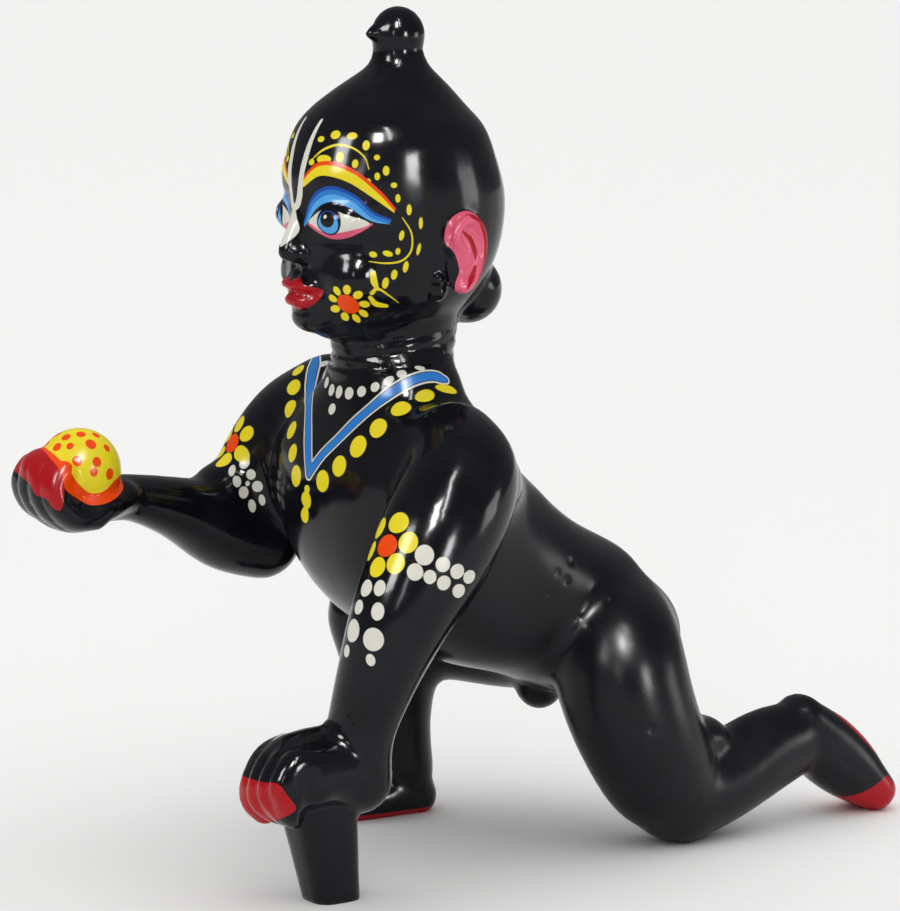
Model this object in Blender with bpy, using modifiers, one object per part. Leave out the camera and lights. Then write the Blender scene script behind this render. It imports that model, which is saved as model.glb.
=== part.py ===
"""Crawling infant figure in cast brass, standing on a peg under one hand, one knee, toes and one foot.

The raised hand holds a ball of sweet. Figure, peg and ball are one casting, so they are one solid.
+Z is up, the figure faces -Y and its left side is +X. The origin is on the floor below its box's middle.
"""

import math

import bmesh
import bpy
import numpy as np
from mathutils import Matrix, Vector

# Real sizes, in metres.
IDOL_HEIGHT = 0.127
PEG_TOP_WIDTH = 0.0100
PEG_TOP_LENGTH = 0.0104
PEG_FOOT_WIDTH = 0.0070
PEG_FOOT_LENGTH = 0.0072
LADDU_RADIUS = 0.0062

# The figure is drawn on a grid of 127 units to its height. Points and half-widths below are in that unit.
GRID = IDOL_HEIGHT / 127.0

BODY_VOXEL = 0.8
BODY_SMOOTHING = 14
WHOLE_VOXEL = 0.6
WHOLE_SMOOTHING = 3
MOST_TRIANGLES = 9400

# Each section is x, y, z, half-width across, half-width the other way.
TORSO = [
    (0, 29, 30.8, 12, 9.2),
    (0, 24, 32.3, 15.5, 12.2),
    (0, 13, 37.3, 16.5, 13.1),
    (0, 3, 42.5, 17.5, 15.4),
    (0, -6.7, 49.8, 20.8, 16.3),
    (0, -9.9, 58, 24.6, 14.3),
    (0, -10.4, 65, 22.6, 11.2),
    (0, -10.3, 70, 12.3, 9.5),
]
NECK = [
    (0, -8.6, 61, 16, 11.5),
    (0, -10.3, 66, 12.3, 9.6),
    (0, -10.9, 71.5, 8.8, 8.6),
    (0, -10.0, 78.5, 8.5, 9.9),
    (0, -9.6, 86, 8.2, 9.6),
]
HEAD = [
    (0, -13.4, 80.4, 7.2, 10.4),
    (0, -12.3, 82.8, 9.8, 13.8),
    (0, -11.2, 86.5, 12.2, 15.3),
    (0, -9.8, 92, 13.3, 16.4),
    (0, -9.8, 98.8, 13.6, 17.2),
    (0, -10.4, 105, 13.2, 16.1),
    (0, -10.6, 109.3, 12.2, 14.4),
    (0, -10.7, 112.3, 9.6, 11.9),
    (0, -10.0, 115.1, 6.8, 8.8),
    (0, -9.0, 118.4, 4.0, 4.5),
    (0, -9.2, 120.6, 3.5, 3.8),
]
LEFT_ARM = [
    (17, -11.2, 63.1, 8, 7.6),
    (22.3, -12.5, 60, 8.2, 8.6),
    (25.5, -18.7, 52, 8.0, 9.2),
    (26, -25.2, 42, 7.0, 7.5),
    (24.5, -28.4, 33, 6.0, 5.9),
    (22.5, -30.0, 24.5, 5.2, 4.9),
    (21.5, -29.6, 17.5, 5.2, 4.8),
]
LEFT_PALM = [
    (21, -29.2, 17.5, 5.6, 5.0),
    (20.5, -34, 20.0, 6.8, 5.8),
    (20, -38.8, 19.8, 7.2, 5.6),
]
RIGHT_UPPER_ARM = [
    (-16, -10.5, 66.2, 8, 8),
    (-23.4, -12.8, 61.0, 8.2, 8.8),
    (-26.5, -16.3, 52.4, 7.6, 9.2),
    (-27, -17.5, 45.5, 6.8, 7.2),
]
RIGHT_FOREARM = [
    (-27, -16.7, 44.6, 6.4, 6.8),
    (-26, -24.5, 47.3, 6.4, 6.9),
    (-23.5, -34, 51.2, 5.2, 4.9),
    (-21, -43, 54.0, 4.0, 3.7),
    (-20, -49, 54.5, 5.0, 3.6),
]
LEFT_THIGH = [
    (8, 23.5, 32, 10, 10.4),
    (14.5, 20.5, 29, 10.5, 10.2),
    (17.5, 21.3, 21, 9.8, 10.0),
    (19, 25.0, 11.8, 8.4, 9.2),
    (19, 28.5, 7.0, 7.4, 7.3),
]
LEFT_SHIN = [
    (19, 29, 6.7, 7.2, 7.3),
    (18.8, 37, 8.5, 6.6, 6.9),
    (18.4, 45.5, 11.5, 5.6, 6.9),
    (18, 52.5, 13.0, 4.8, 6.0),
]
LEFT_FOOT = [
    (18, 52.8, 16.7, 4.2, 3.3),
    (18, 56.7, 12.0, 4.8, 5.3),
    (18, 61.8, 7.5, 5.2, 5.2),
    (18, 67.1, 2.8, 5.4, 3.5),
]
RIGHT_THIGH = [
    (-8.5, 21.5, 29.5, 9.5, 10.0),
    (-14, 18.5, 29.2, 10, 9.9),
    (-19, 6, 31.3, 8.8, 9.1),
    (-19.5, -2.0, 33.1, 7.2, 7.4),
]
RIGHT_SHIN = [
    (-19.5, -2.2, 32.5, 6.6, 7.0),
    (-20, 1.9, 24, 6.4, 7.8),
    (-20, 3.2, 14, 5.0, 5.4),
    (-20, 4.2, 6, 4.8, 5.0),
]
RIGHT_FOOT = [
    (-19.5, 6.6, 2.4, 4.0, 3.2),
    (-20.5, 2, 2.9, 4.8, 3.8),
    (-22, -5, 1.8, 5.4, 2.8),
    (-23.5, -11, 1.0, 5.0, 1.9),
]

# A finger's knuckle, x and y, and how much higher than the curl its tip ends.
FIST_FINGERS = [(14.8, -41.3, 0.0), (18.2, -42.0, 1.2), (21.7, -42.4, 2.6), (24.8, -42.2, 4.2)]
HELD_FINGERS = [(-24.3, -57.4, -0.8), (-20.7, -58.0, -0.6), (-17.1, -58.0, -0.4), (-13.7, -57.2, -0.4)]
# A finger's sections: y past its knuckle, z, then the two half-widths.
FIST_CURL = [(4.0, 22, 2.1, 2.6), (0.3, 20.5, 2.1, 2.6), (-1.8, 16.0, 2.0, 2.4), (0.3, 13.0, 1.9, 2.1)]
HELD_CURL = [(4.5, 53, 1.9, 2.1), (0, 54.2, 1.9, 2.1), (-1.9, 58, 1.8, 2.0), (-0.5, 61, 1.6, 1.8)]
HELD_THUMB = [
    (-24.0, -46.5, 54.6, 2.2, 2.2),
    (-26.3, -50.5, 57.2, 2.0, 2.1),
    (-25.6, -54.5, 60.0, 1.7, 1.8),
]
# The fingers of each hand lie close together, on one cupped sheet.
FIST_SHEET = [
    (20.0, -36, 20.9, 6.6, 4.2),
    (20.0, -41.4, 20.5, 7.0, 2.8),
    (20.0, -43.2, 16.6, 7.0, 2.1),
    (18.0, -41.6, 14.3, 4.4, 1.8),
]
HELD_SHEET = [
    (-19.6, -46, 55.0, 5.2, 2.6),
    (-19.0, -51, 53.8, 7.0, 2.6),
    (-18.9, -55.8, 52.9, 7.6, 2.5),
    (-18.9, -59.6, 56.6, 7.4, 1.9),
    (-18.9, -59.2, 60.2, 6.6, 1.5),
]
KNOT_TIP = [
    (0, -9.6, 122.8, 2.9, 3.1),
    (0, -12.4, 123.0, 1.7, 1.8),
    (0, -14.4, 122.9, 0.6, 0.6),
]
NOSE = [
    (0, -25.4, 98.4, 1.5, 1.4),
    (0, -26.8, 94.4, 1.5, 1.7),
    (0, -28.1, 91.7, 1.8, 1.7),
]

RING_POINTS = 28
STEPS_BETWEEN = 5
CAP_RINGS = 5


def through(sections, steps):
    """Rows on a Catmull-Rom curve through the sections, all their columns at once."""
    rows = np.array(sections, float)
    padded = np.vstack([2 * rows[0] - rows[1], rows, 2 * rows[-1] - rows[-2]])
    shares = np.linspace(0, 1, steps, endpoint=False)[:, None]
    pieces = []
    for a, b, c, d in zip(padded, padded[1:], padded[2:], padded[3:]):
        bend = (2 * a - 5 * b + 4 * c - d) * shares**2 + (3 * b - a - 3 * c + d) * shares**3
        pieces.append(0.5 * (2 * b + (c - a) * shares + bend))
    return np.vstack([*pieces, rows[-1:]])


def loft(clay, sections, square=2.0, cap=0.9, level=False):
    """Adds a closed, round-ended limb to clay.

    Its rings are level, or else stand square to the line through the sections' middles.
    """
    rows = through(sections, STEPS_BETWEEN)
    along = np.gradient(rows[:, :3], axis=0)
    if level:
        along = np.tile((0.0, 0.0, 1.0), (len(rows), 1))
    along /= np.linalg.norm(along, axis=1)[:, None]
    rings = []
    for row, way in zip(rows, along):
        rings.append((row[:3], way, row[3], row[4]))
    first, last = rings[0], rings[-1]

    def rounded(end, outward):
        """Rings that close an end like the end of an egg."""
        middle, way, wide, deep = end
        reach = cap * min(wide, deep)
        made = []
        for k in range(1, CAP_RINGS):
            turn = math.pi / 2 * k / CAP_RINGS
            drop = middle + outward * way * reach * math.sin(turn)
            made.append((drop, way, wide * math.cos(turn), deep * math.cos(turn)))
        return made, middle + outward * way * reach

    start_rings, start_tip = rounded(first, -1)
    end_rings, end_tip = rounded(last, 1)
    rings = start_rings[::-1] + rings + end_rings
    turns = np.linspace(0, 2 * math.pi, RING_POINTS, endpoint=False)
    cosines, sines = np.cos(turns), np.sin(turns)
    power = 2.0 / square
    flat = np.sign(cosines) * np.abs(cosines) ** power
    tall = np.sign(sines) * np.abs(sines) ** power
    verts = []
    for middle, way, wide, deep in rings:
        side = np.array((1.0, 0.0, 0.0)) - way * way[0]
        side /= np.linalg.norm(side)
        lift = np.cross(way, side)
        ring = middle + np.outer(flat * wide, side) + np.outer(tall * deep, lift)
        verts.append([clay.verts.new(Vector(p) * GRID) for p in ring])
    for lower, upper in zip(verts, verts[1:]):
        for k in range(RING_POINTS):
            j = (k + 1) % RING_POINTS
            clay.faces.new((lower[k], lower[j], upper[j], upper[k]))
    for ring, tip, flip in ((verts[0], start_tip, True), (verts[-1], end_tip, False)):
        point = clay.verts.new(Vector(tip) * GRID)
        for k in range(RING_POINTS):
            j = (k + 1) % RING_POINTS
            clay.faces.new((ring[j], ring[k], point) if flip else (ring[k], ring[j], point))


def egg(clay, middle, radii, pitch=0.0, turn=0.0):
    """Adds an ellipsoid to clay. Pitch turns it about X and turn about Z, in degrees."""
    place = Matrix.Translation(Vector(middle) * GRID)
    spin = Matrix.Rotation(math.radians(turn), 4, "Z") @ Matrix.Rotation(math.radians(pitch), 4, "X")
    size = Matrix.Diagonal((*(Vector(radii) * GRID), 1.0))
    bmesh.ops.create_uvsphere(clay, u_segments=28, v_segments=18, radius=1.0, matrix=place @ spin @ size)


def body_clay():
    """Trunk, neck and limbs, before their joints are smoothed over."""
    clay = bmesh.new()
    loft(clay, TORSO, square=2.3)
    loft(clay, NECK)
    for side in (-1, 1):
        egg(clay, (side * 7.5, 25.3, 31.0), (10.0, 10.5, 9.6), pitch=-25)
    for limb in (LEFT_ARM, RIGHT_UPPER_ARM, RIGHT_FOREARM):
        loft(clay, limb)
    for limb in (LEFT_THIGH, LEFT_SHIN, RIGHT_THIGH, RIGHT_SHIN):
        loft(clay, limb)
    egg(clay, (18.5, 33.2, 15.9), (5.5, 4.3, 3.3))
    egg(clay, (-25.8, -24.6, 54.2), (5.0, 4.4, 3.0))
    return clay


def detail_clay():
    """Hands, feet, peg, features of the head and the ball of sweet."""
    clay = bmesh.new()
    loft(clay, HEAD, square=2.1, cap=0.4, level=True)
    loft(clay, LEFT_PALM)
    loft(clay, LEFT_FOOT, square=2.4)
    loft(clay, RIGHT_FOOT, square=2.4)
    peg_top = (18.6, -35.0, 16, PEG_TOP_WIDTH / 2 / GRID, PEG_TOP_LENGTH / 2 / GRID)
    peg_foot = (18.5, -32.3, -1, PEG_FOOT_WIDTH / 2 / GRID, PEG_FOOT_LENGTH / 2 / GRID)
    loft(clay, [peg_top, peg_foot], square=3.5, cap=0.3)
    for x, y, rise in FIST_FINGERS:
        loft(clay, finger(x, y, rise, FIST_CURL))
    for x, y, rise in HELD_FINGERS:
        loft(clay, finger(x, y, rise, HELD_CURL))
    loft(clay, HELD_THUMB)
    loft(clay, FIST_SHEET)
    egg(clay, (21.4, -38.6, 18.4), (6.0, 4.6, 3.6))
    loft(clay, HELD_SHEET)
    egg(clay, (-18.8, -52.2, 54.5), (7.0, 7.2, 3.2))
    sweet = LADDU_RADIUS / GRID
    egg(clay, (-18.5, -53.0, 59.4), (sweet, sweet, sweet))
    egg(clay, (-18.6, -56.4, 57.4), (5.8, 4.6, 4.6))
    egg(clay, (0, -9.1, 122.6), (3.7, 4.1, 4.3))
    loft(clay, KNOT_TIP, cap=0.6)
    egg(clay, (0, 2.8, 84.6), (6.2, 5.2, 5.4))
    egg(clay, (-4.5, 19.4, 21.5), (4.2, 3.8, 4.2))
    loft(clay, NOSE)
    egg(clay, (0, -25.6, 86.6), (4.3, 2.5, 1.25))
    egg(clay, (0, -25.4, 84.4), (3.6, 2.5, 1.35))
    egg(clay, (0, -23.7, 81.9), (4.4, 3.1, 2.3))
    for side in (-1, 1):
        egg(clay, (side * 1.9, -26.6, 90.7), (1.5, 1.9, 1.4))
        egg(clay, (side * 5.6, -22.9, 96.8), (4.0, 2.8, 2.6), turn=side * 18)
        egg(clay, (side * 5.7, -20.3, 88.2), (5.2, 4.9, 5.2))
        egg(clay, (side * 13.2, -6.2, 91.4), (1.5, 3.5, 6.0), pitch=-10, turn=side * 14)
    return clay


def finger(x, y, rise, curl):
    """Sections of one bent finger whose knuckle is at x and y."""
    steps = len(curl) - 1
    made = []
    for k, (past, z, wide, deep) in enumerate(curl):
        made.append((x, y + past, z + rise * k / steps, wide, deep))
    return made


def object_from(clay, name, into):
    mesh = bpy.data.meshes.new(name)
    clay.to_mesh(mesh)
    clay.free()
    made = bpy.data.objects.new(name, mesh)
    into.objects.link(made)
    return made


def evaluated(shape):
    """The mesh of an object with its modifiers, as a plain mesh."""
    graph = bpy.context.evaluated_depsgraph_get()
    return bpy.data.meshes.new_from_object(shape.evaluated_get(graph))


def fuse(shape, voxel, rounds):
    """Joins the shells of a shape into one skin and softens it."""
    skin = shape.modifiers.new("one skin", "REMESH")
    skin.mode = "VOXEL"
    skin.voxel_size = voxel * GRID
    soft = shape.modifiers.new("soft", "SMOOTH")
    soft.factor = 0.5
    soft.iterations = rounds
    mesh = evaluated(shape)
    shape.modifiers.clear()
    shape.data = mesh


def cut_at_floor(shape):
    """Leaves flat faces where the figure stands on the floor."""
    clay = bmesh.new()
    clay.from_mesh(shape.data)
    skin = clay.verts[:] + clay.edges[:] + clay.faces[:]
    cut = bmesh.ops.bisect_plane(
        clay, geom=skin, dist=1e-7, plane_co=(0, 0, 0), plane_no=(0, 0, 1), clear_inner=True
    )
    rim = [part for part in cut["geom_cut"] if isinstance(part, bmesh.types.BMEdge)]
    bmesh.ops.holes_fill(clay, edges=rim, sides=0)
    for vert in clay.verts:
        if abs(vert.co.z) < 1e-6:
            vert.co.z = 0.0
    bmesh.ops.triangulate(clay, faces=clay.faces[:])
    bmesh.ops.recalc_face_normals(clay, faces=clay.faces[:])
    clay.to_mesh(shape.data)
    clay.free()


def stand_on_origin(shape):
    """Moves the figure so that its box's bottom middle is at the origin."""
    corners = np.array([vert.co for vert in shape.data.vertices])
    low, high = corners.min(axis=0), corners.max(axis=0)
    shape.data.transform(Matrix.Translation((-(low[0] + high[0]) / 2, -(low[1] + high[1]) / 2, -low[2])))


def enamel():
    material = bpy.data.materials.new("black enamel")
    material.use_nodes = True
    shader = material.node_tree.nodes["Principled BSDF"]
    shader.inputs["Base Color"].default_value = (0.012, 0.013, 0.018, 1.0)
    shader.inputs["Roughness"].default_value = 0.28
    return material


def main():
    for old in list(bpy.data.objects):
        bpy.data.objects.remove(old)
    group = bpy.data.collections.new("laddu_gopal_idol")
    bpy.context.scene.collection.children.link(group)
    idol = object_from(body_clay(), "idol", group)
    fuse(idol, BODY_VOXEL, BODY_SMOOTHING)
    clay = detail_clay()
    clay.from_mesh(idol.data)
    clay.to_mesh(idol.data)
    clay.free()
    fuse(idol, WHOLE_VOXEL, WHOLE_SMOOTHING)
    thin = idol.modifiers.new("fewer triangles", "DECIMATE")
    thin.ratio = MOST_TRIANGLES / (2.0 * len(idol.data.polygons))
    mesh = evaluated(idol)
    idol.modifiers.clear()
    idol.data = mesh
    cut_at_floor(idol)
    stand_on_origin(idol)
    idol.data.materials.append(enamel())
    idol.data.polygons.foreach_set("use_smooth", [True] * len(idol.data.polygons))


main()
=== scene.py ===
"""Painted finish and studio for a crawling infant figure of cast brass under black enamel.

The figure is one casting. Its skin is made again here from the same limbs as the part's solid, with finer
hands, ears and features, and is then painted with brush strokes that are worked out on that skin.
"""

import math

import bmesh
import bpy
import numpy as np
from bpy.props import FloatProperty, FloatVectorProperty, PointerProperty
from mathutils import Matrix, Vector
from mathutils.bvhtree import BVHTree


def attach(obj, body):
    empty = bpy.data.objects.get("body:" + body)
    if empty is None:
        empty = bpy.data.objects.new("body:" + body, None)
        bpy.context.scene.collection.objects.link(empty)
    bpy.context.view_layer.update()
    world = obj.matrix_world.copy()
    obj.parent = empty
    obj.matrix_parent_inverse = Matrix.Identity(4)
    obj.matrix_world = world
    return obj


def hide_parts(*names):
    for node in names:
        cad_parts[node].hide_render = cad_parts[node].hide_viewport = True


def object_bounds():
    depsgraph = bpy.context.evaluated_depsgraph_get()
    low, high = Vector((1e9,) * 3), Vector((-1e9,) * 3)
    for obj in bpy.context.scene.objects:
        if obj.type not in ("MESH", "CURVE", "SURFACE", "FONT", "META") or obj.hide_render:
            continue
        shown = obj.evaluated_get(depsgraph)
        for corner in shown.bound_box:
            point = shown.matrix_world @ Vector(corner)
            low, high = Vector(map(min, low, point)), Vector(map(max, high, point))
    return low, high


bl_info = {
    "name": "Painted crawling figure",
    "version": (1, 0, 0),
    "blender": (4, 5, 0),
    "location": "View3D > Sidebar > Idol",
    "description": "Skin, enamel and brush painting of a small cast figure, with its studio",
    "category": "Object",
}

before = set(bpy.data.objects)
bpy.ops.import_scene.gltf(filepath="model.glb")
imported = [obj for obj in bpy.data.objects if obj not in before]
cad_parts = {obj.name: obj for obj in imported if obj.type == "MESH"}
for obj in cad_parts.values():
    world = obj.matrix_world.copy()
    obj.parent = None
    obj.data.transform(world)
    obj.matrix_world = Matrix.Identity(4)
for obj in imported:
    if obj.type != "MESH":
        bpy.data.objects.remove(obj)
CAD_LOW, CAD_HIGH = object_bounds()

# The figure is drawn in millimetres on a grid whose zero is on the floor below its neck.
DRAWN_HEIGHT = 126.867
UNIT = (CAD_HIGH.z - CAD_LOW.z) / DRAWN_HEIGHT
# Where the middle of the figure's box is on that grid.
DRAWN_MIDDLE = (-0.2198, 4.2542)

# Real sizes of the peg and the ball of sweet, in metres.
PEG_TOP_WIDTH = 0.0100
PEG_TOP_LENGTH = 0.0104
PEG_FOOT_WIDTH = 0.0070
PEG_FOOT_LENGTH = 0.0072
LADDU_RADIUS = 0.0062
# The ball of sweet's middle, and the middle and half-widths of its slope towards the fingers.
SWEET_MIDDLE = (-18.5, -53.0, 59.4)
SWEET_SLOPE = (-18.6, -56.6, 58.2)
SWEET_SLOPE_RADII = (5.8, 4.8, 4.9)
# How far in millimetres the yellow and the orange go past the ball and the slope, and stay off the thumb.
YELLOW_PAST = (0.9, 0.9, 2.1)
ORANGE_PAST = (2.6, 2.2, 1.9)

# Each section is x, y, z, half-width across, half-width the other way.
TORSO = [
    (0, 29, 30.8, 12, 9.2),
    (0, 24, 32.3, 15.5, 12.2),
    (0, 13, 37.3, 16.5, 13.1),
    (0, 3, 42.5, 17.5, 15.4),
    (0, -6.7, 49.8, 20.8, 16.3),
    (0, -9.9, 58, 24.6, 14.3),
    (0, -10.4, 65, 22.6, 11.2),
    (0, -10.3, 70, 12.3, 9.5),
]
NECK = [
    (0, -8.6, 61, 16, 11.5),
    (0, -10.3, 66, 12.3, 9.6),
    (0, -10.9, 71.5, 8.8, 8.6),
    (0, -10.0, 78.5, 8.5, 9.9),
    (0, -9.6, 86, 8.2, 9.6),
]
HEAD = [
    (0, -13.4, 80.4, 7.2, 10.4),
    (0, -12.3, 82.8, 9.8, 13.8),
    (0, -11.2, 86.5, 12.2, 15.3),
    (0, -9.8, 92, 13.3, 16.4),
    (0, -9.8, 98.8, 13.6, 17.2),
    (0, -10.4, 105, 13.2, 16.1),
    (0, -10.6, 109.3, 12.2, 14.4),
    (0, -10.7, 112.3, 9.6, 11.9),
    (0, -10.0, 115.1, 6.8, 8.8),
    (0, -9.0, 118.4, 4.0, 4.5),
    (0, -9.2, 120.6, 3.5, 3.8),
]
LEFT_ARM = [
    (17, -11.2, 63.1, 8, 7.6),
    (22.3, -12.5, 60, 8.2, 8.6),
    (25.5, -18.7, 52, 8.0, 9.2),
    (26, -25.2, 42, 7.0, 7.5),
    (24.5, -28.4, 33, 6.0, 5.9),
    (22.5, -30.0, 24.5, 5.2, 4.9),
    (21.5, -29.6, 17.5, 5.2, 4.8),
]
LEFT_PALM = [
    (21, -29.2, 17.5, 5.6, 5.0),
    (20.5, -34, 20.0, 6.8, 5.8),
    (20, -38.8, 19.8, 7.2, 5.6),
]
RIGHT_UPPER_ARM = [
    (-16, -10.5, 66.2, 8, 8),
    (-23.4, -12.8, 61.0, 8.2, 8.8),
    (-26.5, -16.3, 52.4, 7.6, 9.2),
    (-27, -17.5, 45.5, 6.8, 7.2),
]
RIGHT_FOREARM = [
    (-27, -16.7, 44.6, 6.4, 6.8),
    (-26, -24.5, 47.3, 6.4, 6.9),
    (-23.5, -34, 51.2, 5.2, 4.9),
    (-21, -43, 54.0, 4.0, 3.7),
    (-20, -49, 54.5, 5.0, 3.6),
]
LEFT_THIGH = [
    (8, 23.5, 32, 10, 10.4),
    (14.5, 20.5, 29, 10.5, 10.2),
    (17.5, 21.3, 21, 9.8, 10.0),
    (19, 25.0, 11.8, 8.4, 9.2),
    (19, 28.5, 7.0, 7.4, 7.3),
]
LEFT_SHIN = [
    (19, 29, 6.7, 7.2, 7.3),
    (18.8, 37, 8.5, 6.6, 6.9),
    (18.4, 45.5, 11.5, 5.6, 6.9),
    (18, 52.5, 13.0, 4.8, 6.0),
]
LEFT_FOOT = [
    (18, 52.8, 16.7, 4.2, 3.3),
    (18, 56.7, 12.0, 4.8, 5.3),
    (18, 61.8, 7.5, 5.2, 5.2),
    (18, 67.1, 2.8, 5.4, 3.5),
]
RIGHT_THIGH = [
    (-8.5, 21.5, 29.5, 9.5, 10.0),
    (-14, 18.5, 29.2, 10, 9.9),
    (-19, 6, 31.3, 8.8, 9.1),
    (-19.5, -2.0, 33.1, 7.2, 7.4),
]
RIGHT_SHIN = [
    (-19.5, -2.2, 32.5, 6.6, 7.0),
    (-20, 1.9, 24, 6.4, 7.8),
    (-20, 3.2, 14, 5.0, 5.4),
    (-20, 4.2, 6, 4.8, 5.0),
]
RIGHT_FOOT = [
    (-19.5, 6.6, 2.4, 4.0, 3.2),
    (-20.5, 2, 2.9, 4.8, 3.8),
    (-22, -5, 1.8, 5.4, 2.8),
    (-23.5, -11, 1.0, 5.0, 1.9),
]

# A finger's knuckle, x and y, and how much higher than the curl its tip ends.
FIST_FINGERS = [(14.8, -41.3, 0.0), (18.2, -42.0, 1.2), (21.7, -42.4, 2.6), (24.8, -42.2, 4.2)]
HELD_FINGERS = [(-24.3, -57.4, -0.8), (-20.7, -58.0, -0.6), (-17.1, -58.0, -0.4), (-13.7, -57.2, -0.4)]
# A finger's sections: y past its knuckle, z, then the two half-widths.
FIST_CURL = [(4.0, 22, 2.1, 2.6), (0.3, 20.5, 2.1, 2.6), (-1.8, 16.0, 2.0, 2.4), (0.3, 13.0, 1.9, 2.1)]
HELD_CURL = [(4.5, 53, 1.9, 2.1), (0, 54.2, 1.9, 2.1), (-1.9, 58, 1.8, 2.0), (-0.5, 61, 1.6, 1.8)]
HELD_THUMB = [
    (-24.0, -46.5, 54.6, 2.2, 2.2),
    (-26.3, -50.5, 57.2, 2.0, 2.1),
    (-25.6, -54.5, 60.0, 1.7, 1.8),
]
# The fingers of each hand lie close together, on one cupped sheet.
FIST_SHEET = [
    (20.0, -36, 20.9, 6.6, 4.2),
    (20.0, -41.4, 20.5, 7.0, 2.8),
    (20.0, -43.2, 16.6, 7.0, 2.1),
    (18.0, -41.6, 14.3, 4.4, 1.8),
]
HELD_SHEET = [
    (-19.6, -46, 55.0, 5.2, 2.6),
    (-19.0, -51, 53.8, 7.0, 2.6),
    (-18.9, -55.8, 52.9, 7.6, 2.5),
    (-18.9, -59.6, 56.6, 7.4, 1.9),
    (-18.9, -59.2, 60.2, 6.6, 1.5),
]
KNOT_TIP = [
    (0, -9.6, 122.8, 2.9, 3.1),
    (0, -12.4, 123.0, 1.7, 1.8),
    (0, -14.4, 122.9, 0.6, 0.6),
]
NOSE = [
    (0, -25.4, 98.4, 1.5, 1.4),
    (0, -26.8, 94.4, 1.5, 1.7),
    (0, -28.1, 91.7, 1.8, 1.7),
]

# An ear's rim and the fold inside it: y and z from the ear's middle, then the half-width.
EAR_MIDDLE = (13.2, -6.2, 91.4)
EAR_RIM = [
    (-1.1, 0.7, 0.4),
    (-2.5, 2.2, 0.65),
    (-2.0, 4.2, 0.75),
    (0.1, 5.1, 0.8),
    (2.2, 4.1, 0.8),
    (3.0, 1.4, 0.75),
    (2.4, -1.6, 0.7),
    (0.9, -3.9, 0.75),
    (-0.9, -4.9, 0.85),
]
EAR_FOLD = [
    (0.3, 3.1, 0.35),
    (1.2, 1.6, 0.5),
    (1.1, -0.5, 0.5),
    (0.1, -2.3, 0.45),
    (-1.1, -2.7, 0.4),
]

RING_POINTS = 36
STEPS_BETWEEN = 6
CAP_RINGS = 6

# Voxels in millimetres on which shells are joined, and how many rounds then soften each skin.
BODY_VOXEL = 0.8
BODY_SMOOTHING = 14
SOFT_VOXEL = 0.55
SOFT_SMOOTHING = 9
FINE_VOXEL = 0.42
FINE_SMOOTHING = 4
BASE_VOXEL = 1.2
EVENING_ROUNDS = 3

# The camera stands off the figure's left front and aims level with its chest. The frame is 900 by 911.
CAMERA_AZIMUTH = math.radians(57.0)
CAMERA_ELEVATION = math.radians(9.0)
CAMERA_DISTANCE = 605.24
CAMERA_AIM = Vector((0.0, 0.0, 59.41))
LENS = 159.1
SENSOR = 36.0
FRAME_WIDTH = 900
FRAME_HEIGHT = 911
FOCAL_PIXELS = LENS / SENSOR * FRAME_HEIGHT
BACKWARD = Vector(
    (
        math.sin(CAMERA_AZIMUTH) * math.cos(CAMERA_ELEVATION),
        -math.cos(CAMERA_AZIMUTH) * math.cos(CAMERA_ELEVATION),
        math.sin(CAMERA_ELEVATION),
    )
)
RIGHTWARD = Vector((math.cos(CAMERA_AZIMUTH), math.sin(CAMERA_AZIMUTH), 0.0))
UPWARD = BACKWARD.cross(RIGHTWARD)
EYE = CAMERA_AIM + BACKWARD * CAMERA_DISTANCE
PIXELS_PER_MM = FOCAL_PIXELS / CAMERA_DISTANCE

# Edge length of the skin in millimetres, and where its shape needs shorter ones: middle, reach and length.
PLAIN_SPACING = 1.15
FINE_ZONES = [
    ((0, -16, 94), 12, 0.55),
    ((0, -10, 98), 19, 0.8),
    ((13, -6, 91), 6, 0.4),
    ((-13, -6, 91), 6, 0.4),
    ((0, -11, 122.5), 4, 0.6),
    ((0, -27, 90), 5, 0.4),
    ((0, -12, 77.5), 9, 0.6),
    ((20, -41, 17), 7, 0.5),
    ((-19, -55, 57), 10, 0.55),
    ((18, 64, 6), 8, 0.7),
    ((-21, -5, 3), 10, 0.8),
]

# How the enamel and the paints take the light.
ENAMEL_IOR = 1.47
ENAMEL_SPECULAR = 0.24
PAINT_ROUGHNESS = 0.24
THIN_PAINT_SHADE = 0.72
# Widths in millimetres of smudges, brush marks and ripples, and the heights in metres of the last two.
SMUDGE_WIDTH = 9
BRUSH_WIDTH = 1.6
RIPPLE_WIDTH = 4.5
BRUSH_HEIGHT = 0.000015
RIPPLE_HEIGHT = 0.00014
# The nearest and farthest that the camera sees, in metres.
CLIP_NEAR = 0.05
CLIP_FAR = 30.0
# The studio: the floor's half-width in metres, the even light of the room and the light from overhead.
FLOOR_REACH = 9.0
FLOOR_ROUGHNESS = 0.95
FLOOR_SPECULAR = 0.1
ROOM_GLOW = 0.22
OVERHEAD_LIGHT = 2.45
OVERHEAD_SPREAD = math.radians(120)
# The place that the soft boxes face, in metres.
LIT_PLACE = Vector((0, 0, 0.07))
# Soft boxes that the enamel mirrors: azimuth from the figure's front towards its left and elevation in
# degrees, distance, width and height in metres, brightness, and whether they light the matt paint too.
PANELS = [
    ("window", 63, 42, 1.1, 0.14, 0.34, 110.0, False),
    ("window_side", 78, 50, 1.1, 0.03, 0.6, 90.0, False),
    ("temple_side", 99, 8, 1.1, 0.15, 0.22, 45.0, False),
    ("flank", 147, 2, 1.3, 0.4, 0.26, 6.0, False),
    ("front", 18, 30, 1.3, 0.34, 0.5, 34.0, False),
    ("camera_side", 49, 14, 1.2, 0.1, 0.24, 12.0, True),
]

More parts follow.
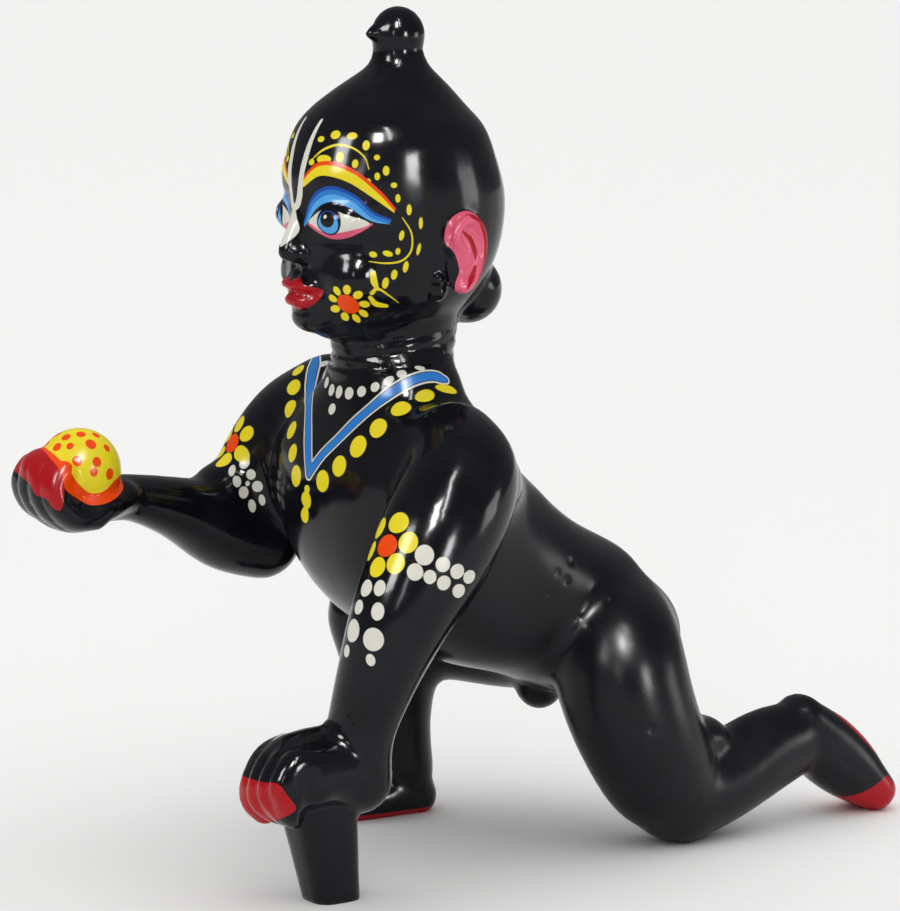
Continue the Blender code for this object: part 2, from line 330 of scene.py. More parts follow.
# The face is painted on a map wrapped round the head: s is the distance from the middle line along a
# cylinder of this radius about x = 0 and y = FACE_AXIS, and t is the height. Both sides are alike.
FACE_RADIUS = 15.5
FACE_AXIS = -9.8

# Soft hollows and swellings of the face: s, t, reach along s, reach along t, height in millimetres.
FACE_RELIEF = [
    (3.0, 98.0, 1.7, 2.4, -0.45),
    (7.2, 100.0, 4.6, 0.7, -0.3),
    (7.2, 93.6, 4.2, 0.6, -0.25),
    (6.5, 103.2, 5.0, 1.8, 0.3),
    (0.0, 88.9, 0.6, 1.0, -0.3),
    (0.0, 83.3, 3.0, 0.6, -0.3),
    (1.6, 89.6, 0.6, 0.45, -0.5),
    (4.9, 86.3, 0.9, 1.1, -0.35),
]
# Small round swellings: x of the left one, y, z, reach and height. Nostrils, then the ear ornament.
KNOBS = [
    (2.3, -27.2, 90.9, 1.9, 0.7),
    (12.4, -10.2, 87.9, 1.3, 0.9),
    (12.3, -9.6, 85.7, 1.7, 1.3),
]
# The line between the lips, as s, t pairs, and its depth.
MOUTH_LINE = [(0.0, 85.9), (1.6, 86.1), (3.0, 85.7), (4.4, 86.1)]
MOUTH_DEPTH = 0.5

# Finger grooves: x of each, on the front of the planted fist and on the back of the raised hand.
FIST_GROOVES = (16.5, 19.9, 23.3)
HELD_GROOVES = (-22.5, -18.9, -15.3)
TOE_GROOVES = (15.7, 17.6, 19.4, 21.1)
GROOVE_DEPTH = 0.2
GROOVE_WIDTH = 0.32
# Folds round the neck: height at the middle of its side, on planes that rise a little towards the back.
NECK_FOLDS = (79.1, 77.2, 75.4)
NECK_FOLD_RISE = 0.12
NECK_FOLD_DEPTH = 0.3
NECK_FOLD_WIDTH = 0.4

# Places on the skin are named by where they show in the 900 by 911 frame.
# Creases of wrist and foot and the fold of the chest: depth and width in millimetres, and the line.
CREASES = [
    (0.4, 0.4, [(331, 722), (341, 719), (353, 721), (367, 731), (381, 741)]),
    (0.25, 0.35, [(812, 746), (838, 758), (862, 773)]),
    (0.2, 0.8, [(262, 508), (284, 506), (304, 508), (322, 513)]),
]
# Hollows of the casting, with the least and greatest depth and width of one in millimetres.
PIT_DEPTHS = (0.12, 0.2)
PIT_WIDTHS = (0.45, 0.75)
CASTING_PITS = [
    (558, 572), (567, 580), (594, 588), (550, 594), (579, 617),
    (589, 626), (571, 562), (651, 729), (696, 799), (610, 601),
]

# The blue band of the necklace, from the near shoulder to its point and up to the far shoulder.
BAND_NEAR = [
    (446, 380), (433, 376), (416, 379), (396, 389), (376, 404), (356, 421), (337, 440), (322, 455),
    (309, 473),
]
BAND_FAR = [(316, 357), (312, 375), (309, 400), (308, 428), (308, 452), (309, 473)]
# Half-widths in millimetres of its two sides, and how far its black line and white edge go past it.
BAND_HALVES = (0.66, 0.74)
BAND_LINE = 0.13
BAND_EDGE = 0.4
# Beads and dots: place in the frame, half-widths across and along in millimetres, and lean in degrees.
GOLD_BEADS = [
    (447, 389, 0.6, 1.6, 85), (425, 396, 0.92, 1.42, 65), (401, 409, 1.05, 1.48, 45),
    (378, 428, 1.14, 1.5, 28), (358, 446.5, 1.12, 1.66, 18), (339, 466, 1.02, 1.56, 15),
    (322.5, 481, 1.04, 1.62, 12), (298, 370, 0.8, 1.1, 40), (293.5, 387, 0.95, 1.25, 25),
    (290.5, 409, 0.95, 1.4, 12), (291.5, 430, 0.92, 1.4, 8), (292.5, 453, 0.85, 1.4, 8),
    (296, 476, 0.98, 1.62, 6), (307, 489, 0.5, 0.6, 0), (306, 500, 0.9, 1.3, 0), (304.5, 515, 0.75, 1.2, 0),
]
WHITE_BEADS = [
    (324, 363.5, 0.45, 0.8, 30), (324, 374.5, 0.45, 0.75, 20), (326.5, 382.5, 0.5, 0.85, 15),
    (331.5, 390, 0.52, 0.9, 10), (339, 392, 0.52, 0.95, 15), (349, 393.3, 0.65, 0.9, 25),
    (361.5, 391.5, 0.65, 0.8, 25), (375, 387, 0.62, 0.75, 40), (388.5, 380.5, 0.55, 0.88, 60),
    (401.5, 373.5, 0.6, 0.72, 60), (420, 367.5, 0.4, 0.75, 90), (332, 409, 0.58, 0.85, 25),
]
NEAR_FLOWER = (386.5, 545.5, 1.3, 1.64, 12)
NEAR_PETALS = [
    (380, 528, 0.84, 1.62, 12), (398, 522.5, 1.36, 1.55, 15), (408, 542.5, 1.35, 1.55, 15),
    (395.5, 563.5, 1.26, 1.5, 15), (377, 567, 1.02, 1.5, 18), (371.5, 551, 0.6, 1.5, 12),
]
NEAR_DOTS = [
    (424.5, 555, 1.36, 1.45, 0), (415, 572, 1.15, 1.22, 0), (443, 564.5, 1.02, 1.08, 0),
    (430, 577, 0.9, 1.0, 0), (457.5, 571.5, 0.96, 1.08, 0), (444, 583, 0.96, 1.05, 0),
    (469.5, 577, 0.78, 1.0, 10), (459, 591, 0.86, 1.0, 25), (366, 588, 0.78, 1.25, 20),
    (379.5, 588, 0.8, 1.15, 10), (358.5, 607, 0.65, 1.06, 15), (377.5, 611.5, 0.92, 1.28, 5),
    (352.5, 630.5, 0.96, 1.66, 12), (373, 639.5, 1.48, 1.66, 0), (346.5, 651, 0.48, 0.9, 0),
    (370.5, 660, 0.66, 0.88, -15),
]
# The far arm's flower is round: its place, how far out its petals are, and half-widths of middle and petal.
FAR_FLOWER = (232, 443)
FAR_PETALS = 6
FAR_PETALS_OUT = 3.2
FAR_FLOWER_HALVES = (1.45, 1.55)
FAR_PETAL_HALVES = (1.2, 1.4)
FAR_DOTS = [
    (244.5, 462.5, 0.76, 1.02, 20), (232, 470.5, 0.52, 0.84, 10), (251, 474.5, 0.72, 0.8, 0),
    (237, 481.5, 0.62, 0.88, 0), (257.5, 486.5, 0.82, 0.84, 0), (243.5, 492.5, 0.7, 0.92, 0),
    (247.5, 483.5, 0.35, 0.4, 0), (252, 506, 0.55, 1.0, -10), (262, 500, 0.5, 0.85, -10),
]

SWEET_DOTS = [
    (57, 447), (70, 446), (91, 444), (107, 448), (77, 461), (97, 462), (94, 472), (110, 474), (66, 437),
    (81, 434), (96, 435), (68, 470),
]
SWEET_DOT_HALVES = (0.55, 0.85)
# The yellow of the sweet and the orange round it, as closed outlines in the frame.
SWEET_YELLOW = [
    (40, 442), (55, 455), (68, 468), (77, 482), (90, 493), (104, 491), (114, 481), (126, 466), (126, 424),
    (84, 418), (44, 430),
]
SWEET_ORANGE = [
    (22, 450), (36, 453), (51, 461), (61, 477), (66, 490), (78, 499), (90, 505), (104, 504), (116, 498),
    (123, 488), (121, 474), (134, 462), (130, 418), (84, 410), (36, 426),
]
# Red ends of the fingers, as closed outlines in the frame.
HELD_TIPS = [
    (12, 469), (20, 456), (32, 446), (42, 449), (51, 459), (59, 469), (64, 483), (64, 497), (61, 510),
    (53, 508), (46, 499), (36, 495), (30, 485), (21, 476),
]
FIST_TIPS = [
    (232, 776), (251, 779), (262, 782), (278, 784), (287, 795), (296, 807), (291, 814), (275, 821),
    (260, 829), (240, 829), (230, 806),
]


def through(sections, steps):
    """Rows on a Catmull-Rom curve through the sections, all their columns at once."""
    rows = np.array(sections, float)
    padded = np.vstack([2 * rows[0] - rows[1], rows, 2 * rows[-1] - rows[-2]])
    shares = np.linspace(0, 1, steps, endpoint=False)[:, None]
    pieces = []
    for a, b, c, d in zip(padded, padded[1:], padded[2:], padded[3:]):
        bend = (2 * a - 5 * b + 4 * c - d) * shares**2 + (3 * b - a - 3 * c + d) * shares**3
        pieces.append(0.5 * (2 * b + (c - a) * shares + bend))
    return np.vstack([*pieces, rows[-1:]])


def loft(clay, sections, square=2.0, cap=0.9, level=False):
    """Adds a closed, round-ended limb to clay.

    Its rings are level, or else stand square to the line through the sections' middles.
    """
    rows = through(sections, STEPS_BETWEEN)
    along = np.gradient(rows[:, :3], axis=0)
    if level:
        along = np.tile((0.0, 0.0, 1.0), (len(rows), 1))
    along /= np.linalg.norm(along, axis=1)[:, None]
    rings = []
    for row, way in zip(rows, along):
        rings.append((row[:3], way, row[3], row[4]))
    first, last = rings[0], rings[-1]

    def rounded(end, outward):
        """Rings that close an end like the end of an egg."""
        middle, way, wide, deep = end
        reach = cap * min(wide, deep)
        made = []
        for k in range(1, CAP_RINGS):
            turn = math.pi / 2 * k / CAP_RINGS
            drop = middle + outward * way * reach * math.sin(turn)
            made.append((drop, way, wide * math.cos(turn), deep * math.cos(turn)))
        return made, middle + outward * way * reach

    start_rings, start_tip = rounded(first, -1)
    end_rings, end_tip = rounded(last, 1)
    rings = start_rings[::-1] + rings + end_rings
    turns = np.linspace(0, 2 * math.pi, RING_POINTS, endpoint=False)
    cosines, sines = np.cos(turns), np.sin(turns)
    power = 2.0 / square
    flat = np.sign(cosines) * np.abs(cosines) ** power
    tall = np.sign(sines) * np.abs(sines) ** power
    verts = []
    for middle, way, wide, deep in rings:
        side = np.array((1.0, 0.0, 0.0)) - way * way[0]
        side /= np.linalg.norm(side)
        lift = np.cross(way, side)
        ring = middle + np.outer(flat * wide, side) + np.outer(tall * deep, lift)
        verts.append([clay.verts.new(p) for p in ring])
    for lower, upper in zip(verts, verts[1:]):
        for k in range(RING_POINTS):
            j = (k + 1) % RING_POINTS
            clay.faces.new((lower[k], lower[j], upper[j], upper[k]))
    for ring, tip, flip in ((verts[0], start_tip, True), (verts[-1], end_tip, False)):
        point = clay.verts.new(tip)
        for k in range(RING_POINTS):
            j = (k + 1) % RING_POINTS
            clay.faces.new((ring[j], ring[k], point) if flip else (ring[k], ring[j], point))


def egg(clay, middle, radii, pitch=0.0, turn=0.0):
    """Adds an ellipsoid to clay. Pitch turns it about X and turn about Z, in degrees."""
    spin = Matrix.Rotation(math.radians(turn), 4, "Z") @ Matrix.Rotation(math.radians(pitch), 4, "X")
    place = Matrix.Translation(middle) @ spin @ Matrix.Diagonal((*radii, 1.0))
    bmesh.ops.create_uvsphere(clay, u_segments=40, v_segments=26, radius=1.0, matrix=place)


def body_clay():
    """Trunk, neck and limbs, before their joints are smoothed over."""
    clay = bmesh.new()
    loft(clay, TORSO, square=2.3)
    loft(clay, NECK)
    for side in (-1, 1):
        egg(clay, (side * 7.5, 25.3, 31.0), (10.0, 10.5, 9.6), pitch=-25)
    for limb in (LEFT_ARM, RIGHT_UPPER_ARM, RIGHT_FOREARM):
        loft(clay, limb)
    for limb in (LEFT_THIGH, LEFT_SHIN, RIGHT_THIGH, RIGHT_SHIN):
        loft(clay, limb)
    egg(clay, (18.5, 33.2, 15.9), (5.5, 4.3, 3.3))
    egg(clay, (-25.8, -24.6, 54.2), (5.0, 4.4, 3.0))
    return clay


def soft_clay():
    """The forms that flow into the trunk and limbs: head, hands, feet, cheeks and nose."""
    clay = bmesh.new()
    loft(clay, HEAD, square=2.1, cap=0.4, level=True)
    loft(clay, LEFT_PALM)
    loft(clay, LEFT_FOOT, square=2.4)
    loft(clay, RIGHT_FOOT, square=2.4)
    for x, y, rise in FIST_FINGERS:
        loft(clay, finger(x, y, rise, FIST_CURL))
    for x, y, rise in HELD_FINGERS:
        loft(clay, finger(x, y, rise, HELD_CURL))
    loft(clay, HELD_THUMB)
    loft(clay, FIST_SHEET)
    egg(clay, (21.4, -38.6, 18.4), (6.0, 4.6, 3.6))
    loft(clay, HELD_SHEET)
    egg(clay, (-18.8, -52.2, 54.5), (7.0, 7.2, 3.2))
    egg(clay, (-18.8, -58.0, 59.4), (6.0, 3.7, 3.7))
    egg(clay, (0, 2.8, 84.6), (6.2, 5.2, 5.4))
    egg(clay, (-4.5, 19.4, 21.5), (4.2, 3.8, 4.2))
    loft(clay, NOSE)
    egg(clay, (0, -23.7, 81.9), (4.4, 3.1, 2.3))
    for side in (-1, 1):
        egg(clay, (side * 5.7, -20.3, 88.2), (5.2, 4.9, 5.2))
    return clay


def crisp_clay():
    """The forms with a clear edge: peg, sweet, knot of hair, lips, lids and ears."""
    clay = bmesh.new()
    peg_top = (18.6, -35.0, 16, PEG_TOP_WIDTH / 2 * 1000, PEG_TOP_LENGTH / 2 * 1000)
    peg_foot = (18.5, -32.3, -1, PEG_FOOT_WIDTH / 2 * 1000, PEG_FOOT_LENGTH / 2 * 1000)
    loft(clay, [peg_top, peg_foot], square=3.5, cap=0.3)
    sweet = LADDU_RADIUS * 1000
    egg(clay, SWEET_MIDDLE, (sweet, sweet, sweet))
    egg(clay, SWEET_SLOPE, SWEET_SLOPE_RADII)
    egg(clay, (0, -9.1, 122.6), (3.7, 4.1, 4.3))
    loft(clay, KNOT_TIP, cap=0.6)
    egg(clay, (0, -25.7, 86.9), (4.3, 2.6, 1.3))
    egg(clay, (0, -25.5, 84.6), (3.5, 2.6, 1.4))
    for side in (-1, 1):
        egg(clay, (side * 5.8, -22.9, 96.7), (4.3, 3.3, 2.7), turn=side * 18)
        x, y, z = EAR_MIDDLE
        egg(clay, (side * x, y, z), (1.3, 3.5, 5.9), pitch=-10, turn=side * 14)
        for curve, out in ((EAR_RIM, 1.35), (EAR_FOLD, 1.2)):
            rows = []
            for past, lift, radius in curve:
                rows.append((side * (x + out - 0.25 * past), y + past, z + lift, radius, radius))
            loft(clay, rows)
    return clay


def finger(x, y, rise, curl):
    """Sections of one bent finger whose knuckle is at x and y."""
    steps = len(curl) - 1
    made = []
    for k, (past, z, wide, deep) in enumerate(curl):
        made.append((x, y + past, z + rise * k / steps, wide, deep))
    return made


def with_skin(clay, points, corners):
    """Clay with a skin that was made before laid into it."""
    mesh = bpy.data.meshes.new("clay")
    mesh.from_pydata(points.tolist(), [], corners.tolist())
    clay.from_mesh(mesh)
    bpy.data.meshes.remove(mesh)
    return clay


def joined(clay, voxel, rounds):
    """One softened skin around the shells of clay, as points and triangles."""
    mesh = bpy.data.meshes.new("clay")
    clay.to_mesh(mesh)
    clay.free()
    shape = bpy.data.objects.new("clay", mesh)
    bpy.context.scene.collection.objects.link(shape)
    skin = shape.modifiers.new("one skin", "REMESH")
    skin.mode = "VOXEL"
    skin.voxel_size = voxel
    if rounds:
        soft = shape.modifiers.new("soft", "SMOOTH")
        soft.factor = 0.5
        soft.iterations = rounds
    graph = bpy.context.evaluated_depsgraph_get()
    made = bpy.data.meshes.new_from_object(shape.evaluated_get(graph))
    made.calc_loop_triangles()
    points = np.empty(len(made.vertices) * 3)
    made.vertices.foreach_get("co", points)
    corners = np.empty(len(made.loop_triangles) * 3, int)
    made.loop_triangles.foreach_get("vertices", corners)
    bpy.data.objects.remove(shape)
    bpy.data.meshes.remove(mesh)
    bpy.data.meshes.remove(made)
    return points.reshape(-1, 3), corners.reshape(-1, 3)


def refined(points, corners, spacing, onto):
    """Splits edges longer than the spacing wanted at their middles, each laid onto the skin.

    No gap is left between triangles.
    """
    for _ in range(10):
        pairs = np.sort(corners[:, [[0, 1], [1, 2], [2, 0]]], axis=2)
        edges, where = np.unique(pairs[:, :, 0] * len(points) + pairs[:, :, 1], return_inverse=True)
        where = where.reshape(-1, 3)
        ends = np.stack([edges // len(points), edges % len(points)], axis=1)
        middles = points[ends].mean(axis=1)
        lengths = np.linalg.norm(points[ends[:, 0]] - points[ends[:, 1]], axis=1)
        split = lengths > 1.4 * spacing(middles)
        if not split.any():
            break
        longest = where[np.arange(len(where)), np.argmax(lengths[where], axis=1)]
        while True:
            touched = split[where].any(axis=1) & ~split[longest]
            if not touched.any():
                break
            split[longest[touched]] = True
        fresh = np.full(len(edges), -1)
        fresh[split] = len(points) + np.arange(split.sum())
        points = np.vstack([points, onto(middles[split])])
        halves = fresh[where]
        count = (halves >= 0).sum(axis=1)
        made = [corners[count == 0]]
        for k in range(3):
            a, b, c = corners[:, k], corners[:, (k + 1) % 3], corners[:, (k + 2) % 3]
            ab, bc, ca = halves[:, k], halves[:, (k + 1) % 3], halves[:, (k + 2) % 3]
            one = (count == 1) & (ab >= 0)
            made.append(np.stack([a, ab, c], axis=1)[one])
            made.append(np.stack([ab, b, c], axis=1)[one])
            two = (count == 2) & (ca < 0)
            made.append(np.stack([ab, b, bc], axis=1)[two])
            made.append(np.stack([a, ab, bc], axis=1)[two])
            made.append(np.stack([a, bc, c], axis=1)[two])
        a, b, c = corners.T
        ab, bc, ca = halves.T
        whole = count == 3
        for trio in ((a, ab, ca), (ab, b, bc), (ca, bc, c), (ab, bc, ca)):
            made.append(np.stack(trio, axis=1)[whole])
        corners = np.vstack(made)
    return points, corners


def neighbour_means(corners, count):
    """A function that gives, for points on these triangles, the mean of each one's neighbours."""
    pairs = np.sort(np.vstack([corners[:, [0, 1]], corners[:, [1, 2]], corners[:, [2, 0]]]), axis=1)
    pairs = np.unique(pairs, axis=0)
    first, second = np.vstack([pairs, pairs[:, ::-1]]).T
    neighbours = np.bincount(first, minlength=count)[:, None]

    def means(points):
        summed = [np.bincount(first, points[second, k], count) for k in range(3)]
        return np.stack(summed, axis=1) / neighbours

    return means


def normals_of(points, corners):
    """A unit normal at every point, weighted by the triangles' areas."""
    a, b, c = points[corners[:, 0]], points[corners[:, 1]], points[corners[:, 2]]
    face = np.cross(b - a, c - a)
    summed = np.zeros_like(points)
    for k in range(3):
        for axis in range(3):
            summed[:, axis] += np.bincount(corners[:, k], face[:, axis], len(points))
    return summed / np.linalg.norm(summed, axis=1)[:, None]


def frame_place(points):
    """Where points show in the camera's frame, in its pixels."""
    rays = points - np.array(EYE)
    depth = -(rays @ np.array(BACKWARD))
    across = FRAME_WIDTH / 2 + FOCAL_PIXELS * (rays @ np.array(RIGHTWARD)) / depth
    down = FRAME_HEIGHT / 2 - FOCAL_PIXELS * (rays @ np.array(UPWARD)) / depth
    return np.stack([across, down], axis=1)


def face_place(points):
    """s and t of points on the face map."""
    round_head = np.arctan2(np.abs(points[:, 0]), FACE_AXIS - points[:, 1])
    return np.stack([FACE_RADIUS * round_head, points[:, 2]], axis=1)


def past_line(points, line):
    """Distance from points to a polyline, and how far along it the nearest place is, from 0 to 1."""
    nearest = np.full(len(points), 1e9)
    share = np.zeros(len(points))
    line = np.asarray(line, float)
    steps = len(line) - 1
    for k in range(steps):
        start, run = line[k], line[k + 1] - line[k]
        along = np.clip((points - start) @ run / max(run @ run, 1e-12), 0, 1)
        gap = np.linalg.norm(points - start - along[:, None] * run, axis=1)
        closer = gap < nearest
        nearest[closer] = gap[closer]
        share[closer] = (k + along[closer]) / steps
    return nearest, share


def inside(points, outline):
    """Signed distance to a closed outline on a flat map, more than 0 inside."""
    outline = np.asarray(outline, float)
    closed = np.vstack([outline, outline[:1]])
    gap, _ = past_line(points, closed)
    odd = np.zeros(len(points), bool)
    x, y = points.T
    for (x0, y0), (x1, y1) in zip(closed, closed[1:]):
        crosses = (y0 > y) != (y1 > y)
        level = x0 + (y - y0) / (y1 - y0 if y1 != y0 else 1e-12) * (x1 - x0)
        odd ^= crosses & (x < level)
    return np.where(odd, gap, -gap)


def rounded_outline(corners, steps=5):
    """A smooth closed outline through corners."""
    ring = np.array(corners, float)
    padded = np.vstack([ring[-1:], ring, ring[:2]])
    return through(padded, steps)[steps : -2 * steps]


def egg_gap(points, middle, radii):
    """Rough signed distance to an ellipsoid with level axes, more than 0 inside."""
    scaled = (points - np.array(middle)) / np.array(radii)
    return (1 - np.linalg.norm(scaled, axis=1)) * min(radii)


class Skin:
    """The fine skin of the figure, on which places seen in the frame are found."""

    def __init__(self, points, corners):
        self.tree = BVHTree.FromPolygons(points.tolist(), corners.tolist())

    def seen_at(self, pixel):
        """The place and the normal of what shows at a pixel of the frame."""
        place, normal, _, _ = self.tree.ray_cast(EYE, self.way_to(pixel))
        if place is None:
            raise RuntimeError(f"nothing of the figure shows at {pixel}")
        return place, normal

    def line_at(self, pixels):
        """A line on the skin through what shows at pixels of the frame."""
        places = []
        for pixel in through(pixels, 4):
            hit = self.tree.ray_cast(EYE, self.way_to(pixel))[0]
            if hit is not None:
                places.append(hit)
        return np.array(places)

    def way_to(self, pixel):
        """The direction in which the camera sees a pixel."""
        across = (pixel[0] - FRAME_WIDTH / 2) / FOCAL_PIXELS
        down = (pixel[1] - FRAME_HEIGHT / 2) / FOCAL_PIXELS
        return (RIGHTWARD * across - UPWARD * down - BACKWARD).normalized()

    def snapped(self, points):
        """The nearest places on the skin."""
        return np.array([self.tree.find_nearest(p)[0] for p in points.tolist()])


# A mark's edge is known to this distance, in millimetres. Beyond it, only how far its box is away.
MARGIN = 1.6
# An oval reaches this far in millimetres above and below the skin, and is widened no more than this allows.
OVAL_DEPTH = 2.2
LEAST_SEEN = 0.62
# The whole figure, and the front of the head, as boxes on |x|, y and z.
ANYWHERE = ((0, -200, -50), (200, 200, 200))
FACE_ZONE = ((0, -40, 79.4), (40, -2.5, 118))
EAR_ZONE = ((12.4, -10.4, 80), (40, 2, 100))


class Painting:
    """The painted marks, each a signed distance on a flat map or on the skin, more than 0 inside."""

    def __init__(self, skin):
        self.skin = skin
        self.marks = []

    def add(self, coat, space, low, high, gap, zone=ANYWHERE, grain=0.22):
        low, high = np.asarray(low, float), np.asarray(high, float)
        zone_low, zone_high = (np.asarray(corner, float) for corner in zone)
        self.marks.append((coat, space, low, high, gap, zone_low, zone_high, grain))

    def patch(self, coat, space, corners, zone=ANYWHERE, grain=0.22, scale=1.0):
        """A filled shape with its outline through corners."""
        outline = rounded_outline(corners) * scale
        low, high = outline.min(axis=0), outline.max(axis=0)
        self.add(coat, space, low, high, lambda places: inside(places, outline), zone, grain)

    def stroke(self, coat, space, line, halves, zone=ANYWHERE, grain=0.16, steps=5):
        """A brush stroke along a line, with half-widths at its points."""
        line = np.array(line, float)
        halves = np.array(halves if np.ndim(halves) else [halves] * len(line), float)[:, None]
        rows = through(np.hstack([line, halves]), steps)
        path, widths = rows[:, :-1], np.maximum(rows[:, -1], 0.05)
        shares = np.linspace(0, 1, len(widths))

        def gap(places):
            off, share = past_line(places, path)
            return np.interp(share, shares, widths) - off

        reach = widths.max()
        self.add(coat, space, path.min(axis=0) - reach, path.max(axis=0) + reach, gap, zone, grain)

    def spot(self, coat, space, middle, half_s, half_t, lean=0.0, zone=ANYWHERE, grain=0.16):
        """An oval on a flat map, its upper end leaning towards higher s by lean degrees."""
        turn = math.radians(lean)
        cos, sin = math.cos(turn), math.sin(turn)
        middle = np.array(middle, float)

        def gap(places):
            past = places - middle
            a = (past[:, 0] * cos - past[:, 1] * sin) / half_s
            b = (past[:, 0] * sin + past[:, 1] * cos) / half_t
            return (1 - np.hypot(a, b)) * min(half_s, half_t)

        reach = max(half_s, half_t)
        self.add(coat, space, middle - reach, middle + reach, gap, zone, grain)

    def dab(self, coat, across, down, half_wide, half_tall, lean, grain=0.22):
        """An oval on the skin at a pixel, with half-widths as they show in the frame."""
        middle, normal = self.skin.seen_at((across, down))
        turn = math.radians(lean)
        tall = UPWARD * math.cos(turn) + RIGHTWARD * math.sin(turn)
        tall = (tall - normal * tall.dot(normal)).normalized()
        wide = tall.cross(normal)
        wide = self.slant(wide, half_wide) * wide
        tall = self.slant(tall, half_tall) * tall
        self.oval(coat, middle, normal, wide, tall, grain)

    @staticmethod
    def slant(way, half):
        """The true half-width of what shows half wide along a way on the skin."""
        seen = math.sqrt(max(1 - way.dot(BACKWARD) ** 2, 0))
        return half / max(seen, LEAST_SEEN)

    def oval(self, coat, middle, normal, wide, tall, grain=0.22):
        """An oval on the skin with its two half-axes as vectors."""
        middle, normal = np.array(middle), np.array(normal)
        wide, tall = np.array(wide), np.array(tall)
        across, along = wide @ wide, tall @ tall

        def gap(places):
            past = places - middle
            a, b, c = past @ wide / across, past @ tall / along, past @ normal / OVAL_DEPTH
            return (1 - np.sqrt(a * a + b * b + c * c)) * math.sqrt(min(across, along))

        reach = math.sqrt(max(across, along))
        self.add(coat, "skin", middle - reach, middle + reach, gap, grain=grain)

    def gaps(self, points):
        """For each mark, its grain and its signed distance at the points."""
        mirrored = points.copy()
        mirrored[:, 0] = np.abs(points[:, 0])
        places = {
            "skin": points,
            "face": face_place(points),
            "side": mirrored[:, 1:],
            "frame": frame_place(points) / PIXELS_PER_MM,
        }
        for coat, space, low, high, gap, zone_low, zone_high, grain in self.marks:
            there = places[space]
            where = mirrored if space in ("face", "side") else points
            past = np.maximum(low - there, there - high).max(axis=1)
            if zone_high[0] < 200:
                past = np.maximum(past, np.maximum(zone_low - where, where - zone_high).max(axis=1))
            value = -np.maximum(past, MARGIN)
            near = np.nonzero(past < MARGIN)[0]
            if len(near):
                found = gap(there[near])
                if zone_high[0] < 200:
                    room = np.minimum(where[near] - zone_low, zone_high - where[near]).min(axis=1)
                    found = np.minimum(found, room)
                value[near] = found
            yield coat, grain, value

    def spacing(self, points):
        """How long an edge may be at the points."""
        wanted = fine_spacing(points)
        for _, grain, value in self.gaps(points):
            wanted = np.minimum(wanted, grain + 0.5 * np.abs(value))
        return wanted


def fine_spacing(points):
    """Edge length for the shape alone: short on the head, hands and feet."""
    wanted = np.full(len(points), PLAIN_SPACING)
    for middle, reach, grain in FINE_ZONES:
        off = np.linalg.norm(points - np.array(middle), axis=1) - reach
        wanted = np.minimum(wanted, grain + 0.25 * np.maximum(off, 0))
    return wanted


